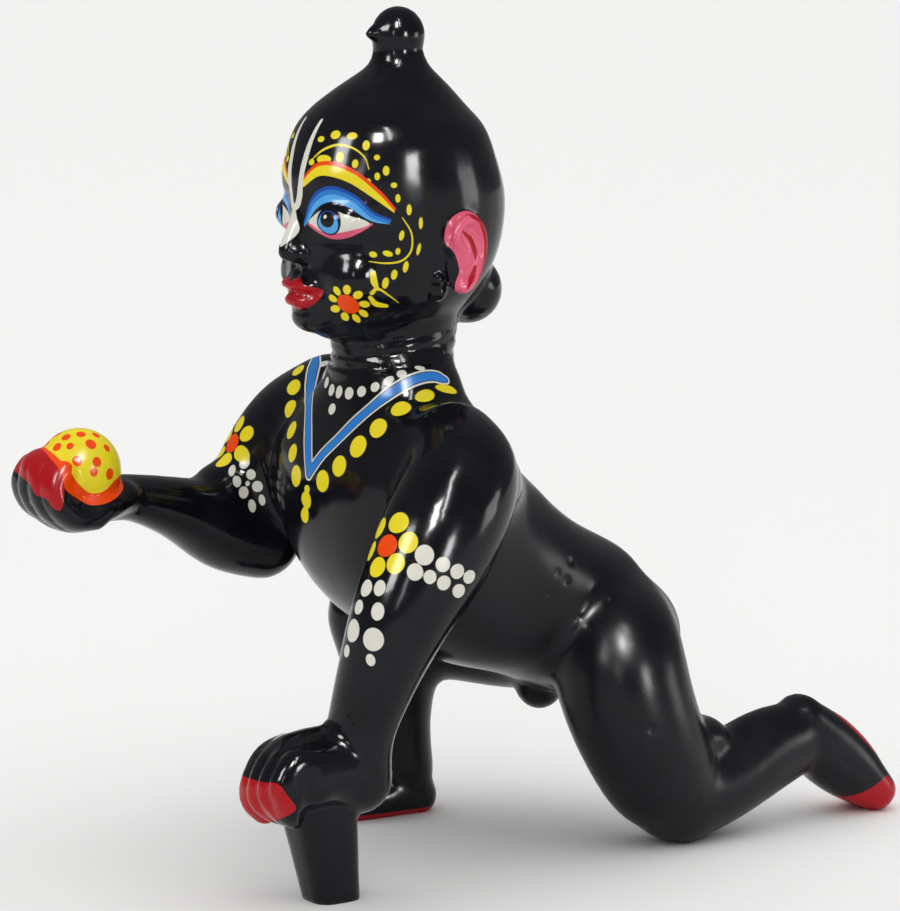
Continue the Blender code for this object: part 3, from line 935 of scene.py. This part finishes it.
def paint_face(painting):
    """Eyes, brows, lips and the ornament of the forehead, temples and cheeks, alike on both sides."""

    def patch(coat, corners, grain=0.18):
        painting.patch(coat, "face", corners, FACE_ZONE, grain)

    def stroke(coat, line, halves, grain=0.16):
        painting.stroke(coat, "face", line, halves, FACE_ZONE, grain)

    def spot(coat, place, half_s, half_t, lean=0.0, grain=0.16):
        painting.spot(coat, "face", place, half_s, half_t, lean, FACE_ZONE, grain)

    # The eye: a white almond with a pink lower edge, a black ring, a blue crescent, a black pupil and a
    # painted white highlight on the pupil.
    under = [(2.3, 96.1), (5.0, 94.5), (7.0, 94.0), (9.6, 94.6), (12.5, 96.4), (9.5, 96.2), (5.5, 96.4)]
    patch("pink", under)
    almond = [(2.5, 96.2), (4.2, 97.7), (6.4, 98.5), (8.8, 97.8), (12.0, 96.4), (9.4, 95.4), (6.8, 94.9)]
    patch("white", almond + [(4.6, 95.2)])
    spot("black", (6.5, 96.7), 2.0, 2.05)
    spot("deep_blue", (6.5, 96.5), 1.68, 1.7)
    spot("pale_blue", (6.5, 96.35), 1.6, 1.5)
    spot("pupil", (6.5, 96.95), 1.12, 1.15)
    spot("glint", (6.2, 97.35), 0.28, 0.28)
    # A band of three blues along the upper lid, drawn out towards the ear.
    lid = np.array([(1.9, 96.2), (3.6, 99.0), (6.4, 100.6), (9.4, 99.7), (12.2, 97.6), (15.0, 96.9)])
    stroke("deep_blue", lid, [0.15, 0.85, 1.15, 1.0, 0.65, 0.2])
    stroke("blue", lid + (0, -0.28), [0.12, 0.65, 0.9, 0.78, 0.5, 0.12])
    stroke("pale_blue", lid + (0, -0.6), [0.05, 0.32, 0.52, 0.46, 0.22, 0.05])
    # The brow: a yellow band with an orange upper edge.
    brow = np.array([(1.9, 101.8), (5.0, 104.0), (9.0, 103.3), (12.8, 100.6), (15.6, 98.2)])
    stroke("orange", brow + (0, 0.3), [0.4, 0.9, 0.9, 0.7, 0.25])
    stroke("yellow_over", brow + (0, -0.12), [0.35, 0.72, 0.72, 0.5, 0.12])
    # The two white lines up the forehead, which join above a leaf on the nose.
    mark = [(2.5, 110.8), (1.9, 106), (1.35, 101.5), (0.75, 98.9), (0, 98.1)]
    stroke("white_over", mark, [0.3, 0.52, 0.52, 0.5, 0.5])
    leaf = [(0, 98.4), (0.9, 96.6), (1.35, 95.2), (0.9, 93.6)]
    patch("white_over", leaf + [(0, 92.6)] + [(-s, t) for s, t in leaf[:0:-1]])
    # A thin scroll over the brow, with a row of dots on each side of it.
    scroll = [(3.2, 105.4), (4.8, 106.8), (7.0, 107.6), (9.4, 107.2), (11.2, 105.9), (11.9, 104.2)]
    stroke("yellow", scroll, [0.08, 0.16, 0.18, 0.14, 0.1, 0.06], 0.1)
    dots = [
        (4.0, 108.3, 0.6, 0.42), (6.3, 109.0, 0.8, 0.6), (9.0, 108.9, 0.8, 0.5), (11.3, 107.6, 0.55, 0.7),
        (13.0, 105.9, 0.45, 0.4), (14.4, 104.0, 0.5, 0.7), (15.6, 101.9, 0.5, 0.4),
        (13.1, 103.2, 0.4, 0.55), (3.2, 105.0, 0.5, 0.45), (5.2, 105.5, 1.15, 0.62),
        (7.6, 105.9, 0.55, 0.75), (9.9, 105.0, 0.45, 0.62), (11.8, 102.5, 0.4, 0.4),
        (16.2, 100.0, 0.4, 0.62), (18.0, 98.3, 0.42, 0.8), (20.0, 96.3, 0.35, 0.85),
    ]
    for s, t, half_s, half_t in dots:
        spot("yellow", (s, t), half_s, half_t)
    # The scroll from the end of the brow round to the cheek.
    curl = [(16.9, 97.2), (18.4, 94.9), (18.4, 92.4), (16.8, 90.9), (14.2, 90.6), (11.8, 90.9)]
    stroke("yellow", curl, [0.07, 0.13, 0.15, 0.14, 0.12, 0.06], 0.1)
    dots = [
        (16.8, 94.6, 0.4, 0.75), (19.7, 92.5, 0.32, 0.9), (12.4, 91.9, 0.6, 0.42), (14.6, 92.0, 0.8, 0.42),
        (16.2, 92.3, 0.4, 0.5), (17.5, 90.0, 0.45, 0.85), (15.6, 88.9, 0.5, 0.75), (14.2, 87.7, 0.5, 0.85),
    ]
    for s, t, half_s, half_t in dots:
        spot("yellow", (s, t), half_s, half_t, lean=15)
    # A sprig of two leaves with a thin stem.
    stroke("yellow", [(12.4, 89.2), (12.6, 87.9), (13.0, 86.8)], [0.4, 0.45, 0.2])
    stroke("yellow", [(12.2, 86.3), (13.0, 86.9), (14.6, 85.9), (16.4, 84.6)], [0.3, 0.2, 0.12, 0.06], 0.12)
    stroke("yellow", [(11.9, 85.6), (12.5, 84.6), (14.3, 84.2)], [0.3, 0.42, 0.25])
    # The flower on the cheek.
    flower = np.array((8.6, 84.6))
    petals = 9
    spot("orange", flower, 1.55, 1.5, grain=0.2)
    for k in range(petals):
        turn = 2 * math.pi * (k + 0.25) / petals
        way = np.array((math.sin(turn), math.cos(turn)))
        spot("yellow", flower + 2.3 * way, 0.55, 0.72, lean=math.degrees(turn), grain=0.2)
    lips = [(0, 87.5), (1.1, 88.1), (2.6, 87.3), (4.7, 86.4), (4.2, 85.2), (2.6, 83.9), (0, 83.3)]
    patch("red", lips + [(-s, t) for s, t in lips[-2:0:-1]])


def paint_ears(painting):
    """Pink ears with a red rim and red folds."""
    y, z = EAR_MIDDLE[1:]

    def place(pairs):
        return [(y + past, z + lift) for past, lift in pairs]

    shell = [
        (-2.3, 0.0), (-3.5, 2.2), (-2.8, 5.0), (0.1, 6.3), (3.0, 5.0), (4.2, 1.4), (3.3, -2.2), (1.5, -5.0),
        (-0.9, -6.2), (-2.2, -4.4), (-1.7, -2.0),
    ]
    painting.patch("pink", "side", place(shell), EAR_ZONE)
    rim = [(0.2, 5.6), (2.2, 4.7), (3.5, 2.0), (3.2, -1.4), (1.8, -4.2), (0.2, -5.9)]
    fold = [(-1.3, 3.6), (0.3, 2.3), (1.2, 0.2), (1.2, -0.8)]
    lobe = [(1.1, -1.8), (0.5, -3.2), (-0.8, -4.8)]
    widths = ([0.25, 0.6, 0.75, 0.7, 0.6, 0.4], [0.15, 0.34, 0.38, 0.15], [0.3, 0.42, 0.15])
    for line, halves in zip((rim, fold, lobe), widths):
        painting.stroke("red", "side", place(line), halves, EAR_ZONE)


def paint_necklaces(painting):
    """A blue band with white edges, a row of gold beads outside it and one of white beads inside."""
    for pixels, half in zip((BAND_NEAR, BAND_FAR), BAND_HALVES):
        path = painting.skin.line_at(pixels)
        narrow = np.full(len(path), half)
        narrow[:3] *= (0.5, 0.8, 1.0)
        for coat, more in (("white", BAND_EDGE), ("black_over", BAND_LINE), ("blue_over", 0)):
            painting.stroke(coat, "skin", path, narrow + more, steps=2, grain=0.18)
    for coat, rows in (("yellow", GOLD_BEADS), ("white", WHITE_BEADS)):
        for row in rows:
            painting.dab(coat, *row)


def paint_arms(painting):
    """A flower on each upper arm, with rows of white dots that hang from it."""
    painting.dab("orange", *NEAR_FLOWER)
    for row in NEAR_PETALS:
        painting.dab("yellow", *row)
    for row in NEAR_DOTS + FAR_DOTS:
        painting.dab("white", *row)
    middle, normal = painting.skin.seen_at(FAR_FLOWER)
    tall = (UPWARD - normal * UPWARD.dot(normal)).normalized()
    wide = tall.cross(normal)
    half_wide, half_tall = FAR_FLOWER_HALVES
    painting.oval("orange", middle, normal, wide * half_wide, tall * half_tall)
    half_side, half_way = FAR_PETAL_HALVES
    for k in range(FAR_PETALS):
        turn = 2 * math.pi * (k + 0.5) / FAR_PETALS
        way = wide * math.cos(turn) + tall * math.sin(turn)
        place, facing, _, _ = painting.skin.tree.find_nearest(middle + way * FAR_PETALS_OUT)
        side = way.cross(facing).normalized()
        painting.oval("yellow", place, facing, side * half_side, way * half_way)


def paint_sweet(painting):
    """The yellow ball of sweet with orange dots, in an orange ring, between red finger ends."""
    ball = np.array(SWEET_MIDDLE)
    sweet = LADDU_RADIUS * 1000
    thumb = np.array([row[:3] for row in HELD_THUMB], float)
    low, high = ball - 9, ball + 9

    def ground(outline, past_ball, past_slope, off_thumb):
        """The signed distance to a coat round the sweet that keeps inside an outline in the frame."""
        edge = rounded_outline(outline) / PIXELS_PER_MM

        def gap(points):
            whole = sweet + past_ball - np.linalg.norm(points - ball, axis=1)
            whole = np.maximum(whole, egg_gap(points, SWEET_SLOPE, SWEET_SLOPE_RADII) + past_slope)
            whole = np.minimum(whole, inside(frame_place(points) / PIXELS_PER_MM, edge))
            return np.minimum(whole, past_line(points, thumb)[0] - off_thumb)

        return gap

    painting.add("orange_under", "skin", low, high, ground(SWEET_ORANGE, *ORANGE_PAST))
    painting.add("yellow", "skin", low, high, ground(SWEET_YELLOW, *YELLOW_PAST))
    draw = random_draws(11)
    for pixel in SWEET_DOTS:
        middle, _ = painting.skin.seen_at(pixel)
        for side in (-1, 1):
            place = middle.copy()
            place.x = ball[0] + side * (middle.x - ball[0])
            place, facing, _, _ = painting.skin.tree.find_nearest(place)
            tall = (UPWARD - facing * UPWARD.dot(facing)).normalized()
            size = draw.uniform(*SWEET_DOT_HALVES)
            painting.oval("orange_over", place, facing, tall.cross(facing) * size, tall * size * 1.1)
    zone = ((-32, -68, 48), (-8, -54.6, 66))
    painting.patch("red", "frame", HELD_TIPS, zone, scale=1 / PIXELS_PER_MM)


def mark_dents(painting):
    """Asks for short edges where the casting is pitted."""
    for pixel in CASTING_PITS:
        middle, normal = painting.skin.seen_at(pixel)
        side = normal.orthogonal().normalized()
        painting.oval("dent", middle, normal, side * 0.6, side.cross(normal) * 0.6)


def paint_feet(painting):
    """Red finger ends on the planted fist, red soles and red toes."""
    zone = ((10, -50, 8), (32, -38.4, 24))
    painting.patch("red", "frame", FIST_TIPS, zone, scale=1 / PIXELS_PER_MM)

    def sole(points):
        """The flat of the raised near foot, and the tips of its toes."""
        y, z = points[:, 1] - 61.8, points[:, 2] - 7.5
        out, down = 0.697 * y + 0.717 * z, 0.717 * y - 0.697 * z
        toes = np.minimum((down - 1.8 - (out + 5.1) * 0.36) * 0.94, 2.4 - out)
        return np.minimum(np.maximum(out - 3.9, toes), points[:, 1] - 52)

    painting.add("red", "skin", (10, 52, -2), (26, 74, 22), sole)

    def edge(points):
        """The red edge of the sole that the far foot stands on."""
        return np.minimum(0.95 - points[:, 2], -12.5 - points[:, 0])

    painting.add("red", "skin", (-32, -18, -2), (-12, 10, 1), edge)


def random_draws(seed):
    """Evenly spread random numbers that are the same on each run."""
    return np.random.default_rng(seed)


def relief_at(points, skin):
    """How far creases, grooves and swellings lift each point along its normal, in millimetres."""
    lift = np.zeros(len(points))
    x, y, z = points.T
    face = face_place(points)
    front = (z > 80) & (y < -6)
    for s, t, reach_s, reach_t, height in FACE_RELIEF:
        off = ((face[:, 0] - s) / reach_s) ** 2 + ((face[:, 1] - t) / reach_t) ** 2
        lift += np.where(front, height * np.exp(-off), 0)
    for out, y_knob, z_knob, reach, height in KNOBS:
        for side in (-1, 1):
            middle = skin.tree.find_nearest((side * out, y_knob, z_knob))[0]
            off = np.linalg.norm(points - np.array(middle), axis=1) / reach
            lift += height * np.maximum(1 - off * off, 0) ** 1.5
    off, share = past_line(face, through(MOUTH_LINE, 5))
    lift -= np.where(front, MOUTH_DEPTH * np.exp(-((off / GROOVE_WIDTH) ** 2)) * (1 - 0.5 * share), 0)
    for rows, where in (
        (FIST_GROOVES, (y < -39.5) & (z > 11.5) & (z < 22.5)),
        (HELD_GROOVES, (y < -53.5) & (z < 61.5) & (z > 50)),
        (TOE_GROOVES, (y > 64.5) & (z < 9)),
    ):
        for middle in rows:
            lift -= np.where(where, GROOVE_DEPTH * np.exp(-(((x - middle) / GROOVE_WIDTH) ** 2)), 0)
    for height in NECK_FOLDS:
        off = z - height - NECK_FOLD_RISE * (y + 10)
        lift -= np.where(y < 3, NECK_FOLD_DEPTH * np.exp(-((off / NECK_FOLD_WIDTH) ** 2)), 0)
    for depth, width, pixels in CREASES:
        off, share = past_line(points, skin.line_at(pixels))
        lift -= depth * np.exp(-((off / width) ** 2)) * np.sin(math.pi * np.clip(share, 0.05, 0.95))
    draw = random_draws(3)
    for pixel in CASTING_PITS:
        middle, _ = skin.seen_at(pixel)
        off = np.linalg.norm(points - np.array(middle), axis=1)
        lift -= draw.uniform(*PIT_DEPTHS) * np.exp(-((off / draw.uniform(*PIT_WIDTHS)) ** 2))
    return lift


def colour(code):
    """A linear colour from an sRGB hex value."""
    parts = [int(code[k : k + 2], 16) / 255 for k in (1, 3, 5)]
    return tuple(p / 12.92 if p <= 0.04045 else ((p + 0.055) / 1.055) ** 2.4 for p in parts)


# Each paint with its colour and its use.
PAINTS = {
    "enamel": ("#0e0f14", "The black enamel"),
    "enamel_worn": ("#17181e", "The enamel where it lies thin"),
    "white": ("#e9e7da", "Beads, dots, eyes and forehead lines"),
    "yellow": ("#f6e228", "Gold beads, petals and the sweet"),
    "orange": ("#fa4d02", "Middles of flowers and the sweet's dots"),
    "red": ("#b40e19", "Lips, fingertips and soles"),
    "pink": ("#ee6584", "Ears and under the eyes"),
    "pale_blue": ("#5ab2f2", "Lightest part of eyelids and irises"),
    "blue": ("#2b82d8", "Necklace band and eyelids"),
    "deep_blue": ("#124fae", "Darkest part of eyelids and irises"),
}


def paint_property(name):
    """A colour that can be set in the sidebar."""
    code, use = PAINTS[name]
    label = name.replace("_", " ").capitalize()
    return FloatVectorProperty(name=label, description=use, subtype="COLOR", default=colour(code))


def roughness_property(part, amount):
    """The roughness of one part's enamel, which can be set in the sidebar."""
    return FloatProperty(
        name=f"Roughness, {part}", description=f"Roughness of the enamel on {part}", min=0.0, max=1.0,
        default=amount, subtype="FACTOR",
    )


class IdolFinish(bpy.types.PropertyGroup):
    enamel: paint_property("enamel")
    enamel_worn: paint_property("enamel_worn")
    gloss_roughness: roughness_property("head and arms", 0.13)
    satin_roughness: roughness_property("trunk and legs", 0.27)
    white: paint_property("white")
    yellow: paint_property("yellow")
    orange: paint_property("orange")
    red: paint_property("red")
    pink: paint_property("pink")
    pale_blue: paint_property("pale_blue")
    blue: paint_property("blue")
    deep_blue: paint_property("deep_blue")


class IdolStudio(bpy.types.PropertyGroup):
    floor: FloatVectorProperty(
        name="Floor", description="Colour of the floor", subtype="COLOR", default=colour("#f4f4f3")
    )
    panel_glow: FloatProperty(
        name="Panels", description="Brightness of the soft boxes that the enamel mirrors", min=0.0,
        default=1.0,
    )


# Coats in the order in which they are brushed on, with the paint of each.
COATS = [
    ("pink", "pink"),
    ("white", "white"),
    ("black", "enamel"),
    ("deep_blue", "deep_blue"),
    ("blue", "blue"),
    ("pale_blue", "pale_blue"),
    ("black_over", "enamel"),
    ("blue_over", "blue"),
    ("pupil", "enamel"),
    ("orange_under", "orange"),
    ("yellow", "yellow"),
    ("orange", "orange"),
    ("yellow_over", "yellow"),
    ("orange_over", "orange"),
    ("red", "red"),
    ("white_over", "white"),
    ("glint", "white"),
]
# Half the width in millimetres over which a brushed edge fades.
EDGE_SOFTNESS = 0.045


def node(tree, kind, settings=None, **links):
    """Adds a node with its settings and links; a link's name is its socket's, with _ for a space."""
    made = tree.nodes.new(kind)
    for key, value in (settings or {}).items():
        setattr(made, key, value)
    for name, value in links.items():
        key = int(name[1:]) if name[0] == "n" and name[1:].isdigit() else name.replace("_", " ")
        if isinstance(value, bpy.types.NodeSocket):
            tree.links.new(value, made.inputs[key])
        else:
            made.inputs[key].default_value = value
    return made


def enamel_and_paints(finish):
    """Black stoving enamel brushed over cast brass, with opaque artist's enamels on top.

    The enamel is a near-black, slightly blue gloss that mirrors lamps with soft, wavy edges. The paints are
    flat, a little matt and uneven where the brush ran thin.
    """
    material = bpy.data.materials.new("black enamel on cast brass, hand painted")
    material.use_nodes = True
    tree = material.node_tree
    shader = tree.nodes["Principled BSDF"]
    shader.inputs["IOR"].default_value = ENAMEL_IOR
    shader.inputs["Specular IOR Level"].default_value = ENAMEL_SPECULAR
    place = node(tree, "ShaderNodeTexCoord").outputs["Object"]
    smudge = node(
        tree, "ShaderNodeTexNoise", Vector=place, Scale=1000 / SMUDGE_WIDTH, Detail=4.0, Roughness=0.6
    ).outputs["Fac"]
    fine = node(
        tree, "ShaderNodeTexNoise", Vector=place, Scale=1000 / BRUSH_WIDTH, Detail=3.0, Roughness=0.55
    ).outputs["Fac"]
    thin = node(
        tree, "ShaderNodeMapRange", Value=smudge, From_Min=0.42, From_Max=0.72, To_Min=0.0, To_Max=1.0
    ).outputs["Result"]
    colour_now = node(
        tree, "ShaderNodeMix", {"data_type": "RGBA"}, n0=thin, n6=(*finish.enamel, 1.0),
        n7=(*finish.enamel_worn, 1.0),
    ).outputs[2]
    satin = node(tree, "ShaderNodeAttribute", {"attribute_name": "satin"}).outputs["Fac"]
    rough = node(
        tree, "ShaderNodeMapRange", Value=satin, From_Min=0.0, From_Max=1.0, To_Min=finish.gloss_roughness,
        To_Max=finish.satin_roughness,
    ).outputs["Result"]
    worn = node(
        tree, "ShaderNodeMapRange", Value=smudge, From_Min=0.35, From_Max=0.75, To_Min=-0.02, To_Max=0.06
    ).outputs["Result"]
    rough = node(tree, "ShaderNodeMath", {"operation": "ADD"}, n0=rough, n1=worn).outputs["Value"]
    # The brush leaves each paint a little thinner here and there, about a millimetre across.
    uneven = node(
        tree, "ShaderNodeMapRange", Value=fine, From_Min=0.3, From_Max=0.62, To_Min=0.9, To_Max=1.0
    ).outputs["Result"]
    painted = None
    for coat, paint in COATS:
        gap = node(tree, "ShaderNodeAttribute", {"attribute_name": coat}).outputs["Fac"]
        cover = node(
            tree, "ShaderNodeMapRange", Value=gap, From_Min=-EDGE_SOFTNESS, From_Max=EDGE_SOFTNESS,
            To_Min=0.0, To_Max=1.0,
        ).outputs["Result"]
        shade = (*getattr(finish, paint), 1.0)
        if paint == "enamel":
            hue = node(tree, "ShaderNodeRGB").outputs["Color"]
            hue.default_value = shade
        else:
            darker = (*(THIN_PAINT_SHADE * part for part in shade[:3]), 1.0)
            hue = node(
                tree, "ShaderNodeMix", {"data_type": "RGBA"}, n0=uneven, n6=darker, n7=shade
            ).outputs[2]
        colour_now = node(
            tree, "ShaderNodeMix", {"data_type": "RGBA"}, n0=cover, n6=colour_now, n7=hue
        ).outputs[2]
        painted = cover if painted is None else node(
            tree, "ShaderNodeMath", {"operation": "MAXIMUM"}, n0=painted, n1=cover
        ).outputs["Value"]
    rough = node(
        tree, "ShaderNodeMix", {"data_type": "FLOAT"}, n0=painted, n2=rough, n3=PAINT_ROUGHNESS
    ).outputs[0]
    # The hand-brushed enamel is not quite level: its ripples are a few hundredths of a millimetre high.
    ripple = node(
        tree, "ShaderNodeTexNoise", Vector=place, Scale=1000 / RIPPLE_WIDTH, Detail=2.0, Roughness=0.45
    ).outputs["Fac"]
    bump = node(
        tree, "ShaderNodeBump", Height=ripple, Strength=0.35, Distance=RIPPLE_HEIGHT
    ).outputs["Normal"]
    bump = node(
        tree, "ShaderNodeBump", Height=fine, Strength=0.2, Distance=BRUSH_HEIGHT, Normal=bump
    ).outputs["Normal"]
    tree.links.new(colour_now, shader.inputs["Base Color"])
    tree.links.new(rough, shader.inputs["Roughness"])
    tree.links.new(bump, shader.inputs["Normal"])
    return material


class OBJECT_OT_idol_casting(bpy.types.Operator):
    """Make the figure's skin in place of its plain solid, and paint it"""

    bl_idname = "object.idol_casting"
    bl_label = "Casting and painting"

    def execute(self, context):
        body = joined(body_clay(), BODY_VOXEL, BODY_SMOOTHING)
        soft = joined(with_skin(soft_clay(), *body), SOFT_VOXEL, SOFT_SMOOTHING)
        fine = joined(with_skin(crisp_clay(), *soft), FINE_VOXEL, FINE_SMOOTHING)
        skin = Skin(*fine)
        painting = Painting(skin)
        for paint in (
            paint_face, paint_ears, paint_necklaces, paint_arms, paint_sweet, paint_feet, mark_dents,
        ):
            paint(painting)
        base = joined(with_skin(bmesh.new(), *fine), BASE_VOXEL, 0)
        points, corners = refined(skin.snapped(base[0]), base[1], painting.spacing, skin.snapped)
        means = neighbour_means(corners, len(points))
        for _ in range(EVENING_ROUNDS):
            points = skin.snapped(0.4 * points + 0.6 * means(points))
        points = points + normals_of(points, corners) * relief_at(points, skin)[:, None]
        middle = np.array((*DRAWN_MIDDLE, 0))
        mesh = bpy.data.meshes.new("painted_figure")
        mesh.from_pydata(((points - middle) * UNIT).tolist(), [], corners.tolist())
        cut_at_floor(mesh)
        mesh.polygons.foreach_set("use_smooth", [True] * len(mesh.polygons))
        lay_coats(mesh, painting)
        mesh.materials.append(enamel_and_paints(context.scene.idol_finish))
        figure = bpy.data.objects.new("painted_figure", mesh)
        context.scene.collection.objects.link(figure)
        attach(figure, "root")
        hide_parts("idol")
        return {"FINISHED"}


def cut_at_floor(mesh):
    """Leaves flat faces where the figure stands on the floor."""
    clay = bmesh.new()
    clay.from_mesh(mesh)
    skin = clay.verts[:] + clay.edges[:] + clay.faces[:]
    cut = bmesh.ops.bisect_plane(
        clay, geom=skin, dist=1e-7, plane_co=(0, 0, 0), plane_no=(0, 0, 1), clear_inner=True
    )
    rim = [part for part in cut["geom_cut"] if isinstance(part, bmesh.types.BMEdge)]
    bmesh.ops.holes_fill(clay, edges=rim, sides=0)
    bmesh.ops.triangulate(clay, faces=clay.faces[:])
    bmesh.ops.recalc_face_normals(clay, faces=clay.faces[:])
    clay.to_mesh(mesh)
    clay.free()


def lay_coats(mesh, painting):
    """Keeps each coat's signed distance, and where the enamel is satin, at the mesh's points."""
    points = np.empty(len(mesh.vertices) * 3)
    mesh.vertices.foreach_get("co", points)
    points = points.reshape(-1, 3) / UNIT + np.array((*DRAWN_MIDDLE, 0))
    coats = {coat: np.full(len(points), -MARGIN) for coat, _ in COATS}
    for coat, _, value in painting.gaps(points):
        if coat in coats:
            coats[coat] = np.maximum(coats[coat], value)
    x, y, z = points.T
    # Trunk and legs are satin; the head, the arms and the peg are glossy.
    trunk = np.clip((y + 8 - np.maximum(np.abs(x) - 14, 0)) / 14, 0, 1) * np.clip((74 - z) / 6, 0, 1)
    coats["satin"] = trunk * trunk * (3 - 2 * trunk)
    for name, values in coats.items():
        mesh.attributes.new(name, "FLOAT", "POINT").data.foreach_set("value", values)


def look_at(place, target):
    """The turn that makes a lamp at place shine on target."""
    return (Vector(target) - Vector(place)).to_track_quat("-Z", "Y")


class OBJECT_OT_idol_studio(bpy.types.Operator):
    """Make the floor, the lights and the camera"""

    bl_idname = "object.idol_studio"
    bl_label = "Studio"

    def execute(self, context):
        scene = context.scene
        studio = scene.idol_studio
        # The enamel and paints are to show as bright as they are, without a film curve.
        scene.view_settings.view_transform = "Standard"
        sheet = bmesh.new()
        bmesh.ops.create_grid(sheet, x_segments=1, y_segments=1, size=FLOOR_REACH)
        mesh = bpy.data.meshes.new("floor")
        sheet.to_mesh(mesh)
        sheet.free()
        floor = bpy.data.objects.new("floor", mesh)
        scene.collection.objects.link(floor)
        # Matt wall paint on a board is pale and even, with hardly any shine.
        matt = bpy.data.materials.new("matt white painted floor")
        matt.use_nodes = True
        shader = matt.node_tree.nodes["Principled BSDF"]
        shader.inputs["Base Color"].default_value = (*studio.floor, 1.0)
        shader.inputs["Roughness"].default_value = FLOOR_ROUGHNESS
        shader.inputs["Specular IOR Level"].default_value = FLOOR_SPECULAR
        mesh.materials.append(matt)
        world = bpy.data.worlds.new("studio")
        scene.world = world
        world.use_nodes = True
        world.node_tree.nodes["Background"].inputs["Color"].default_value = (1, 1, 1, 1)
        world.node_tree.nodes["Background"].inputs["Strength"].default_value = ROOM_GLOW
        sky = bpy.data.lights.new("overhead", "SUN")
        sky.energy = OVERHEAD_LIGHT
        sky.angle = OVERHEAD_SPREAD
        overhead = bpy.data.objects.new("overhead", sky)
        overhead.visible_glossy = False
        scene.collection.objects.link(overhead)
        for name, azimuth, elevation, distance, width, height, glow, lights_paint in PANELS:
            turn, rise = math.radians(azimuth), math.radians(elevation)
            level = math.cos(rise)
            way = Vector((math.sin(turn) * level, -math.cos(turn) * level, math.sin(rise)))
            light = bpy.data.lights.new(name, "AREA")
            light.shape = "RECTANGLE"
            light.size = width
            light.size_y = height
            light.energy = glow * studio.panel_glow * math.pi * width * height
            lamp = bpy.data.objects.new(name, light)
            lamp.location = LIT_PLACE + way * distance
            lamp.visible_diffuse = lights_paint
            lamp.rotation_mode = "QUATERNION"
            lamp.rotation_quaternion = look_at(lamp.location, LIT_PLACE)
            scene.collection.objects.link(lamp)
        lens = bpy.data.cameras.new("camera")
        lens.lens = LENS
        lens.sensor_width = SENSOR
        lens.clip_start = CLIP_NEAR
        lens.clip_end = CLIP_FAR
        camera = bpy.data.objects.new("camera", lens)
        camera.location = (EYE - Vector((*DRAWN_MIDDLE, 0))) * UNIT
        camera.rotation_mode = "QUATERNION"
        camera.rotation_quaternion = (-BACKWARD).to_track_quat("-Z", "Y")
        scene.collection.objects.link(camera)
        scene.camera = camera
        return {"FINISHED"}


class VIEW3D_PT_idol(bpy.types.Panel):
    bl_idname = "VIEW3D_PT_idol"
    bl_label = "Painted figure"
    bl_space_type = "VIEW_3D"
    bl_region_type = "UI"
    bl_category = "Idol"

    def draw(self, context):
        column = self.layout.column()
        for group, operator in (
            (context.scene.idol_finish, OBJECT_OT_idol_casting),
            (context.scene.idol_studio, OBJECT_OT_idol_studio),
        ):
            for key in group.__annotations__:
                column.prop(group, key)
            column.operator(operator.bl_idname)


CLASSES = (IdolFinish, IdolStudio, OBJECT_OT_idol_casting, OBJECT_OT_idol_studio, VIEW3D_PT_idol)


def register():
    for kind in CLASSES:
        bpy.utils.register_class(kind)
    bpy.types.Scene.idol_finish = PointerProperty(type=IdolFinish)
    bpy.types.Scene.idol_studio = PointerProperty(type=IdolStudio)


def unregister():
    del bpy.types.Scene.idol_studio
    del bpy.types.Scene.idol_finish
    for kind in reversed(CLASSES):
        bpy.utils.unregister_class(kind)


def main():
    register()
    bpy.ops.object.idol_casting()
    bpy.ops.object.idol_studio()


if __name__ == "__main__":
    main()
